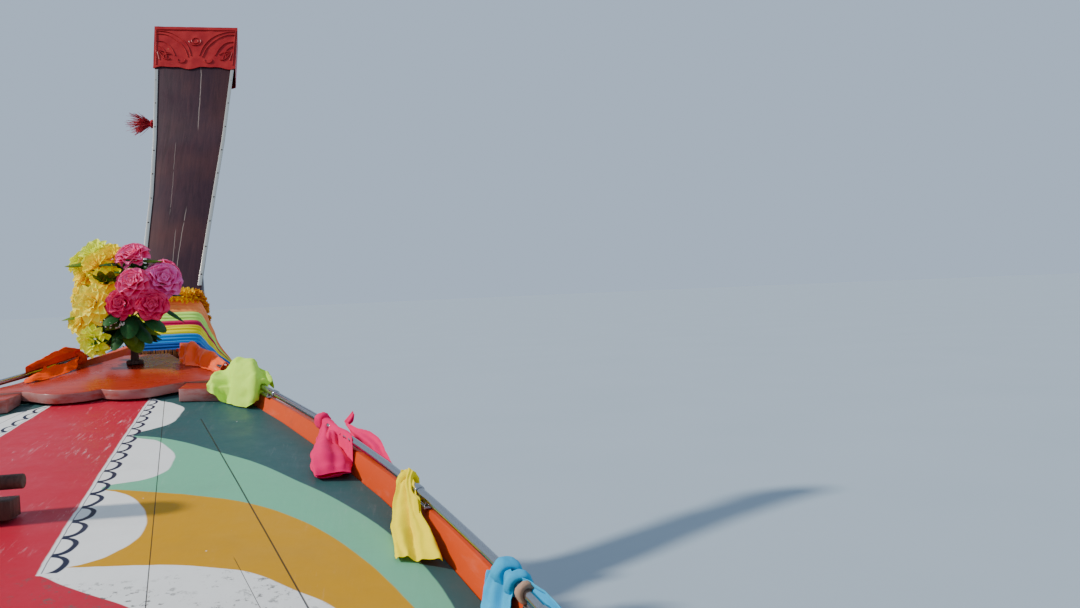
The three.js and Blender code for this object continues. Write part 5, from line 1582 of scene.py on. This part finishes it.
def openPouch(name, path, wide, high, folds, seed):
    # a cloth rolled on itself into a bag, open at its far end
    draw = random.Random(seed)
    phase = [draw.uniform(0, fullTurn) for _ in range(3)]
    points = [Vector(p) for p in path]

    def place(u, v):
        angle = clothSizes["pouchTurn"] * u
        middle, way = onPath(points, v), pathDirection(points, v)
        side = way.cross(upward).normalized()
        up = side.cross(way)
        crease = (1 + 0.16 * math.sin(folds * angle + 2.2 * v + phase[0])
                  + 0.08 * math.sin((2 * folds + 1) * angle + phase[1]))
        flare = 1 + clothSizes["lip"] * max(0.0, v - 0.85) * math.sin(3 * angle + phase[2])
        at = (middle + side * math.cos(angle) * alongTable(wide, v) * crease * flare
              + up * math.sin(angle) * alongTable(high, v) * crease)
        at += 0.004 * noise.noise_vector(Vector((at.x * 35, at.y * 35, at.z * 35 + seed)))
        at.z = max(at.z, restHeight(at.x, at.y, clothSizes["reach"]) + clothSizes["clear"])
        return at

    piece = gridSheet(name, 56, 40, place)
    addModifier(piece, "SMOOTH", factor=0.5, iterations=2)
    return thicken(piece, clothSizes["thickness"])


def railKnot(name, side, y, radius, half, seed, thick, twist=3):
    # cloth wound and pulled tight round the rail
    middle = railAt(side, y)
    along = (railAt(side, y + 0.05) - railAt(side, y - 0.05)).normalized()
    draw = random.Random(seed)
    phase = draw.uniform(0, fullTurn)
    deselectAll()
    bpy.ops.mesh.primitive_torus_add(major_segments=56, minor_segments=22, major_radius=radius,
                                     minor_radius=thick)
    wrap = newest(name)
    for vertex in wrap.data.vertices:
        turn = math.atan2(vertex.co.y, vertex.co.x)
        ring = math.hypot(vertex.co.x, vertex.co.y)
        lump = 1 + 0.22 * math.sin(2 * turn + phase) + 0.10 * math.sin(5 * turn + phase * 2)
        z = vertex.co.z / thick
        crease = 1 - 0.24 * abs(math.sin(twist * (quarterTurn * z + 0.8 * turn) + phase)) ** 0.5
        reach = radius + (ring - radius) * lump * crease if ring > radius else ring
        length = z * half * (0.85 + 0.25 * math.sin(turn + phase))
        vertex.co = Vector((reach * math.cos(turn), reach * math.sin(turn), length))
    addModifier(wrap, "SMOOTH", factor=0.5, iterations=1)
    applyModifiers(wrap)
    wrap.data.transform(facing(along, middle))
    return smoothByAngle(wrap, 70)


def tieCloth(sheets, knots, material, nodeName):
    # the first sheet stands for the node; every loose end is a sheet of its own
    for number, (piece, _, _) in enumerate(sheets):
        smoothByAngle(piece, 70)
        finishPiece(piece, material, "hull", [nodeName] if number == 0 else ())
    for knot in knots:
        finishPiece(knot, material, "hull")
    for number, (piece, flat, held) in enumerate(sheets):
        side = "port" if "Port" in piece.name else "starboard"


def yellowCloth():
    tail = loftedCloth("yellowClothTail", [
        [(-0.748, -3.458, 0.868), (-0.757, -3.452, 0.874), (-0.767, -3.440, 0.868)],
        [(-0.738, -3.425, 0.838), (-0.750, -3.418, 0.852), (-0.763, -3.408, 0.850)],
        [(-0.728, -3.385, 0.800), (-0.748, -3.372, 0.822), (-0.770, -3.358, 0.814)],
        [(-0.722, -3.320, 0.782), (-0.750, -3.310, 0.796), (-0.786, -3.290, 0.790)],
        [(-0.724, -3.245, 0.772), (-0.745, -3.243, 0.770), (-0.766, -3.232, 0.772), (-0.797, -3.218, 0.766)],
    ], 3.0, [(0, 0.003), (0.3, 0.007), (0.7, 0.008), (1, 0.005)], 3)
    knot = railKnot("yellowClothKnot", "starboard", -3.447, 0.0130, 0.014, 4, 0.0090)
    tieCloth([(tail, (0.09, 0.25), "hung")], [knot],
             clothFinish("yellowCloth", clothColors["yellow"], (0.09, 0.25)), "cloth_yellow")


def pinkCloth():
    pouch = openPouch("pinkClothPouch",
                      [(-0.590, -3.840, 0.902), (-0.592, -3.800, 0.890), (-0.596, -3.740, 0.868),
                                         (-0.604, -3.670, 0.852), (-0.610, -3.610, 0.842)],
                      [(0, 0.009), (0.3, 0.017), (0.7, 0.040), (1, 0.032)],
                      [(0, 0.010), (0.4, 0.022), (0.72, 0.028), (0.9, 0.016), (1, 0.003)], 3, 12)
    loop = loftedCloth("pinkClothLoop", [
        [(-0.635, -3.815, 0.914), (-0.640, -3.805, 0.904)],
        [(-0.660, -3.750, 0.910), (-0.652, -3.745, 0.890)],
        [(-0.689, -3.700, 0.908), (-0.672, -3.685, 0.876)],
        [(-0.707, -3.655, 0.897), (-0.690, -3.640, 0.866)],
        [(-0.720, -3.600, 0.876), (-0.708, -3.595, 0.858)],
        [(-0.731, -3.565, 0.862), (-0.728, -3.560, 0.856)],
    ], 2.2, [(0, 0.001), (0.5, 0.005), (1, 0.001)], 13, 20, 40, 0.002, False)
    tip = loftedCloth("pinkClothTip", [
        [(-0.632, -3.834, 0.914), (-0.640, -3.826, 0.905)],
        [(-0.645, -3.824, 0.930), (-0.652, -3.814, 0.914)],
        [(-0.652, -3.812, 0.938), (-0.657, -3.806, 0.932)],
    ], 1.5, [(0, 0.001), (0.5, 0.003), (1, 0.001)], 14, 12, 16, 0.001, False)
    knot = railKnot("pinkClothKnot", "starboard", -3.840, 0.0125, 0.017, 5, 0.0085, 3)
    sheets = [(pouch, (0.24, 0.23), "gathered"), (loop, (0.036, 0.28), "hung"), (tip, (0.018, 0.04), "hung")]
    tieCloth(sheets, [knot], clothFinish("pinkCloth", clothColors["pink"], (0.24, 0.23)), "cloth_pink")


def limeCloth():
    drape = loftedCloth("limeClothDrape", [
        [(-0.270, -4.240, 0.978), (-0.296, -4.355, 0.978), (-0.340, -4.340, 0.985), (-0.384, -4.305, 0.985),
         (-0.420, -4.265, 0.975), (-0.440, -4.205, 0.960)],
        [(-0.271, -4.234, 0.977), (-0.287, -4.315, 1.012), (-0.331, -4.305, 1.031), (-0.374, -4.280, 1.032),
         (-0.410, -4.255, 1.020), (-0.438, -4.210, 0.992)],
        [(-0.272, -4.226, 0.972), (-0.291, -4.250, 0.994), (-0.334, -4.230, 1.004), (-0.382, -4.190, 0.992),
         (-0.416, -4.180, 0.990), (-0.440, -4.185, 0.982)],
        [(-0.274, -4.215, 0.963), (-0.293, -4.196, 0.949), (-0.322, -4.180, 0.935), (-0.376, -4.142, 0.920),
         (-0.405, -4.150, 0.936), (-0.430, -4.172, 0.962)],
    ], 3.4, [(0, 0.004), (0.4, 0.009), (0.75, 0.012), (1, 0.010)], 21, 64, 48, 0.004)
    knot = railKnot("limeClothKnot", "starboard", -4.185, 0.0135, 0.014, 6, 0.009)
    tieCloth([(drape, (0.26, 0.17), "draped")], [knot],
             clothFinish("limeCloth", clothColors["lime"], (0.26, 0.17), glow=0.1), "cloth_lime")


def blueCloth():
    tail = loftedCloth("blueClothTail", [
        [(-0.850, -3.098, 0.788), (-0.868, -3.076, 0.798), (-0.886, -3.045, 0.794)],
        [(-0.845, -3.098, 0.765), (-0.858, -3.066, 0.776), (-0.880, -3.030, 0.772)],
        [(-0.840, -3.090, 0.742), (-0.852, -3.052, 0.748), (-0.872, -3.010, 0.748)],
        [(-0.834, -3.070, 0.734), (-0.846, -3.020, 0.732), (-0.862, -2.960, 0.728)],
        [(-0.830, -3.010, 0.726), (-0.842, -2.960, 0.724), (-0.856, -2.905, 0.720)],
    ], 3.2, [(0, 0.003), (0.4, 0.006), (1, 0.006)], 31)
    outer = loftedCloth("blueClothOuterTail", [
        [(-0.892, -3.030, 0.796), (-0.896, -3.010, 0.776)],
        [(-0.912, -2.980, 0.792), (-0.914, -2.965, 0.764)],
        [(-0.936, -2.930, 0.772), (-0.936, -2.915, 0.736)],
        [(-0.952, -2.880, 0.740), (-0.950, -2.865, 0.698)],
    ], 2.4, [(0, 0.002), (0.5, 0.005), (1, 0.004)], 32, 20, 40, 0.002, False)
    knot = railKnot("blueClothKnot", "starboard", -3.076, 0.0140, 0.022, 7, 0.0095, 3)
    second = railKnot("blueClothTwist", "starboard", -3.040, 0.0130, 0.014, 8, 0.0085, 2)
    frayed = railKnot("blueClothFrayedBand", "starboard", -3.012, 0.0120, 0.010, 9, 0.0060, 5)
    tieCloth([(tail, (0.06, 0.21), "hung"), (outer, (0.042, 0.18), "hung")], [knot, second],
             clothFinish("blueCloth", clothColors["blue"], (0.06, 0.21)), "cloth_blue")
    linen = clothFinish("frayedLinen", (0.42, 0.27, 0.19), (0.05, 0.05), 0.9)
    finishPiece(frayed, linen, "hull")


def orangeCloths():
    lower = loftedCloth("orangePortLower", [
        [(0.160, -4.640, 1.052), (0.183, -4.585, 1.038), (0.208, -4.510, 1.026), (0.236, -4.430, 1.012)],
        [(0.156, -4.600, 1.034), (0.178, -4.545, 1.028), (0.202, -4.480, 1.016), (0.234, -4.415, 1.005)],
        [(0.152, -4.560, 1.014), (0.168, -4.500, 1.008), (0.190, -4.445, 0.999), (0.228, -4.400, 0.994)],
    ], 3.0, [(0, 0.003), (0.5, 0.005), (1, 0.004)], 41, 40, 24, 0.003)
    upper = loftedCloth("orangePortUpper", [
        [(0.172, -4.672, 1.040), (0.206, -4.620, 1.036), (0.236, -4.550, 1.020), (0.256, -4.485, 1.010)],
        [(0.166, -4.664, 1.066), (0.190, -4.620, 1.074), (0.208, -4.575, 1.073), (0.224, -4.520, 1.059),
         (0.242, -4.470, 1.036)],
        [(0.158, -4.650, 1.070), (0.184, -4.605, 1.064), (0.208, -4.550, 1.053), (0.234, -4.485, 1.036)],
    ], 2.6, [(0, 0.002), (0.5, 0.004), (1, 0.003)], 42, 40, 24, 0.003, False)
    knot = railKnot("orangePortKnot", "port", -4.655, 0.0125, 0.016, 10, 0.008)
    cloth = clothFinish("orangeCloth", clothColors["orange"], (0.08, 0.22))
    tieCloth([(lower, (0.05, 0.24), "draped"), (upper, (0.05, 0.22), "draped")], [knot], cloth,
             "cloth_orange_port")
    satinPiece = loftedCloth("orangeSatinDrape", [
        [(-0.103, -4.690, 1.046), (-0.130, -4.700, 1.048), (-0.172, -4.672, 1.042), (-0.207, -4.615, 1.040),
         (-0.243, -4.548, 1.024), (-0.277, -4.488, 1.014), (-0.309, -4.428, 1.006)],
        [(-0.112, -4.660, 1.062), (-0.136, -4.660, 1.068), (-0.163, -4.655, 1.068), (-0.194, -4.600, 1.060),
         (-0.228, -4.530, 1.045), (-0.262, -4.470, 1.034), (-0.294, -4.410, 1.025)],
        [(-0.118, -4.630, 1.041), (-0.139, -4.620, 1.036), (-0.163, -4.610, 1.038), (-0.188, -4.565, 1.030),
         (-0.216, -4.515, 1.014), (-0.249, -4.455, 1.002), (-0.280, -4.398, 0.992)],
        [(-0.134, -4.590, 1.016), (-0.149, -4.570, 1.009), (-0.165, -4.560, 1.003), (-0.195, -4.530, 0.989),
         (-0.222, -4.490, 0.981), (-0.248, -4.455, 0.975), (-0.277, -4.400, 0.967)],
        [(-0.142, -4.560, 0.996), (-0.155, -4.550, 0.988), (-0.172, -4.530, 0.981), (-0.193, -4.510, 0.976),
         (-0.218, -4.475, 0.972), (-0.240, -4.445, 0.968), (-0.268, -4.390, 0.962)],
    ], 4.6, [(0, 0.003), (0.4, 0.007), (0.8, 0.006), (1, 0.004)], 52, 66, 40, 0.004, True, underSatin)
    knot = railKnot("orangeSatinKnot", "starboard", -4.655, 0.0120, 0.012, 11, 0.0065)
    # the last value is the painted glow: the satin gives off light in its own colour
    satin = clothFinish("orangeSatin", clothColors["satin"], (0.20, 0.17), 0.42, 0.1, 0.05, 0.25, 0.12)
    tieCloth([(satinPiece, (0.24, 0.17), "draped")], [knot], satin, "cloth_orange_starboard")


yellowCloth()
pinkCloth()
limeCloth()
blueCloth()
orangeCloths()
print("tied cloths made")


canopySizes = {"half": 0.972, "from": -1.545, "to": 2.785,
               "bows": [-1.48, -0.78, -0.08, 0.62, 1.32, 2.02, 2.72], "eave": 2.013,
               "crown": 0.210, "sag": 0.014, "drop": 0.095, "thickness": 0.0022, "hem": 0.005,
               "archHalf": 0.96, "above": 0.006, "flatShare": 0.90, "seamAft": 0.030, "lashing": 0.0022}


def canopyHeight(x, y):
    c = canopySizes
    arch = c["eave"] + c["crown"] * (1 - (x / c["archHalf"]) ** 2) + c["above"]
    between = 1.0
    for a, b in zip(c["bows"], c["bows"][1:]):
        if a <= y <= b:
            between = math.sin(math.pi * (y - a) / (b - a)) ** 2
    slack = between if c["bows"][0] <= y <= c["bows"][-1] else 0.2
    return arch - c["sag"] * slack * (1 - 0.5 * (x / c["archHalf"]) ** 2)


def canopyPlace(u, v):
    c = canopySizes
    y = lerp(c["from"], c["to"], v)
    t = (u - 0.5) * 2
    flatPart = c["flatShare"]
    if abs(t) <= flatPart:
        x = t / flatPart * c["half"]
        z = canopyHeight(x, y)
    else:
        down = (abs(t) - flatPart) / (1 - flatPart)
        swing = 0.006 * math.sin(9 * y + (1 if t > 0 else 4)) + 0.004 * math.sin(23 * y)
        x = math.copysign(c["half"] + 0.020 * math.sin(quarterTurn * min(1, down * 2)) + swing * down, t)
        z = canopyHeight(c["half"], y) - c["drop"] * down + 0.004 * math.sin(17 * y) * down
    wrinkle = (0.0022 * noise.noise(Vector((x * 4, y * 9, 1)))
               + 0.0010 * noise.noise(Vector((x * 14, y * 30, 2))))
    return Vector((x, y, z + wrinkle))


def canopyCloth():
    f = Finish("canopyCanvas", 0.8)
    parts = f.split()
    base = f.mix(f.mask(f.noise(1.6, 6, 0.6), 0.35, 0.7), (0.11, 0.19, 0.235), (0.17, 0.26, 0.30))
    base = f.mix(f.mask(f.noise(5, 10, 0.7, (1, 1, 3)), 0.56, 0.80), base, (0.30, 0.34, 0.33))
    stain = f.mask(f.noise(3, 9, 0.7), 0.62, 0.72)
    base = f.mix(f.times(stain, 0.5), base, (0.075, 0.085, 0.075))
    weave = f.times(f.waves(70, "X"), f.waves(70, "Y"))
    base = f.mix(f.times(weave, 0.12), base, (0.32, 0.40, 0.42))
    lines = []
    for y in canopySizes["bows"]:
        gap = f.math("ABSOLUTE", f.math("SUBTRACT", parts[1], y + canopySizes["seamAft"]))
        lines.append(f.mask(gap, 0.0022, 0.0010))
    seam = f.strongest(lines)
    base = f.mix(f.times(seam, 0.7), base, (0.05, 0.07, 0.08))
    f.color(base)
    f.rough(f.mask(f.noise(9, 5, 0.6), -1.5, 1.2))
    f.bump(weave, 0.2, 0.0006)
    f.bump(seam, -0.5, 0.002)
    f.set(Sheen_Weight=0.2, Sheen_Roughness=0.5)
    return f.material


def canopy():
    c = canopySizes
    canvas = canopyCloth()
    sheet = gridSheet("canopySheet", 84, 150, canopyPlace)
    thicken(sheet, c["thickness"])
    smoothByAngle(sheet, 50)
    finishPiece(sheet, canvas, "hull", ["canopy_roof"])
    hems = []
    for edge in (0.0, 1.0):
        alongSide = [canopyPlace(edge, i / 60) for i in range(61)]
        acrossEnd = [canopyPlace(i / 40, edge) for i in range(41)]
        hems.append(tubeAlong("sideHem", alongSide, c["hem"], 2, knots=2))
        hems.append(tubeAlong("endHem", acrossEnd, c["hem"], 2, knots=2))
    hem = finishPiece(joinPieces("canopyHem", hems), canvas, "hull")
    # lashings hold the sheet's side hems to the frame
    ties = []
    for side in (0.0, 1.0):
        for y in c["bows"]:
            edge = canopyPlace(side, (y - c["from"]) / (c["to"] - c["from"]))
            inward = Vector((-math.copysign(0.045, edge.x), 0, 0))
            loop = [edge + Vector((0, 0, 0.004)), edge + inward * 0.5 + Vector((0, 0.006, 0.050)),
                    edge + inward + Vector((0, 0.004, 0.086)),
                    edge + inward * 0.8 + Vector((0, -0.006, 0.050)),
                    edge + Vector((0, -0.003, 0.002))]
            ties.append(tubeAlong("lashing", loop, c["lashing"], 1, knots=4))
    f = Finish("lashingTwine", 0.85)
    f.color(f.ramp(f.noise(120, 3, 0.6), [(0.3, (0.24, 0.20, 0.14)), (0.7, (0.46, 0.41, 0.31))]))
    f.bump(f.waves(180, "DIAGONAL"), 0.4, 0.0008)
    twine = finishPiece(joinPieces("canopyLashings", ties), f.material, "hull")


canopy()
print("canopy made")


cameraPlace = {"at": (-0.70, -1.88, 1.20), "heading": 11.5, "pitch": 1.2, "roll": 2.5, "lens": 28.0,
               "sensor": 36.0, "near": 0.02, "far": 500}


def setCamera():
    heading, pitch, roll = (math.radians(cameraPlace[k]) for k in ("heading", "pitch", "roll"))
    forward = Vector((-math.sin(heading) * math.cos(pitch), -math.cos(heading) * math.cos(pitch),
                      -math.sin(pitch)))
    level = Vector((-math.cos(heading), math.sin(heading), 0))
    upright = Vector((-math.sin(heading) * math.sin(pitch), -math.cos(heading) * math.sin(pitch),
                      math.cos(pitch)))
    right = level * math.cos(roll) - upright * math.sin(roll)
    up = level * math.sin(roll) + upright * math.cos(roll)
    data = bpy.data.cameras.new("bowView")
    data.lens = cameraPlace["lens"]
    data.sensor_width = cameraPlace["sensor"]
    data.clip_start = cameraPlace["near"]
    data.clip_end = cameraPlace["far"]
    camera = bpy.data.objects.new("bowView", data)
    bpy.context.scene.collection.objects.link(camera)
    turn = Matrix((right, up, -forward)).transposed().to_4x4()
    camera.matrix_world = Matrix.Translation(cameraPlace["at"]) @ turn
    bpy.context.scene.camera = camera


lightPlace = {"sunFrom": (0.78, 0.06, 0.63), "sun": 4.6, "sunAngle": 3.0, "sky": (0.62, 0.78, 1.0),
              "skyStrength": 0.74,
              "sunColor": (1.0, 0.95, 0.88)}


def setLight():
    world = bpy.data.worlds.new("softRoom")
    bpy.context.scene.world = world
    world.use_nodes = True
    back = world.node_tree.nodes["Background"]
    back.inputs["Color"].default_value = (*lightPlace["sky"], 1)
    back.inputs["Strength"].default_value = lightPlace["skyStrength"]
    deselectAll()
    bpy.ops.object.light_add(type="SUN", location=(4, 0, 6))
    lamp = bpy.context.active_object
    lamp.name = "mainLight"
    lamp.data.energy = lightPlace["sun"]
    lamp.data.angle = math.radians(lightPlace["sunAngle"])
    lamp.data.color = lightPlace["sunColor"]
    lamp.matrix_world = Vector(lightPlace["sunFrom"]).to_track_quat("Z", "Y").to_matrix().to_4x4()


floorSizes = {"reach": 120.0, "middle": 0.65, "half": 4.36, "inPlank": 0.016, "ring": 96, "steps": 6}
planking = surfaceOf([name for name in nodes if "planks" in name])


def insideAt(y):
    hit = planking.ray_cast(Vector((0, y, 0.001)), Vector((1, 0, 0)))[0]
    return (hit.x if hit else 0.0) + floorSizes["inPlank"]


def setFloor():
    # a ring whose inner edge lies inside the planking, so none of the floor shows in the hull
    o = floorSizes

    def place(u, v):
        turn = 2 * math.pi * u
        y = o["middle"] - o["half"] * math.cos(turn)
        side = 0 if u in (0.0, 1.0) else math.copysign(1, math.sin(turn))
        edge = Vector((side * insideAt(y), y, 0))
        return edge.lerp(Vector((math.sin(turn), -math.cos(turn), 0)) * o["reach"], v ** 4)

    floor = gridSheet("studioFloor", o["ring"], o["steps"], place, True)
    startEdit(floor)
    bpy.ops.mesh.select_all(action="SELECT")
    bpy.ops.mesh.normals_make_consistent(inside=False)
    endEdit()
    f = Finish("paleFloor", 0.75)
    f.color(f.mix(f.noise(0.8, 3, 0.5), (0.33, 0.40, 0.46), (0.36, 0.43, 0.49)))
    setMaterial(floor, f.material)


setCamera()
setLight()
setFloor()
print("stage set")
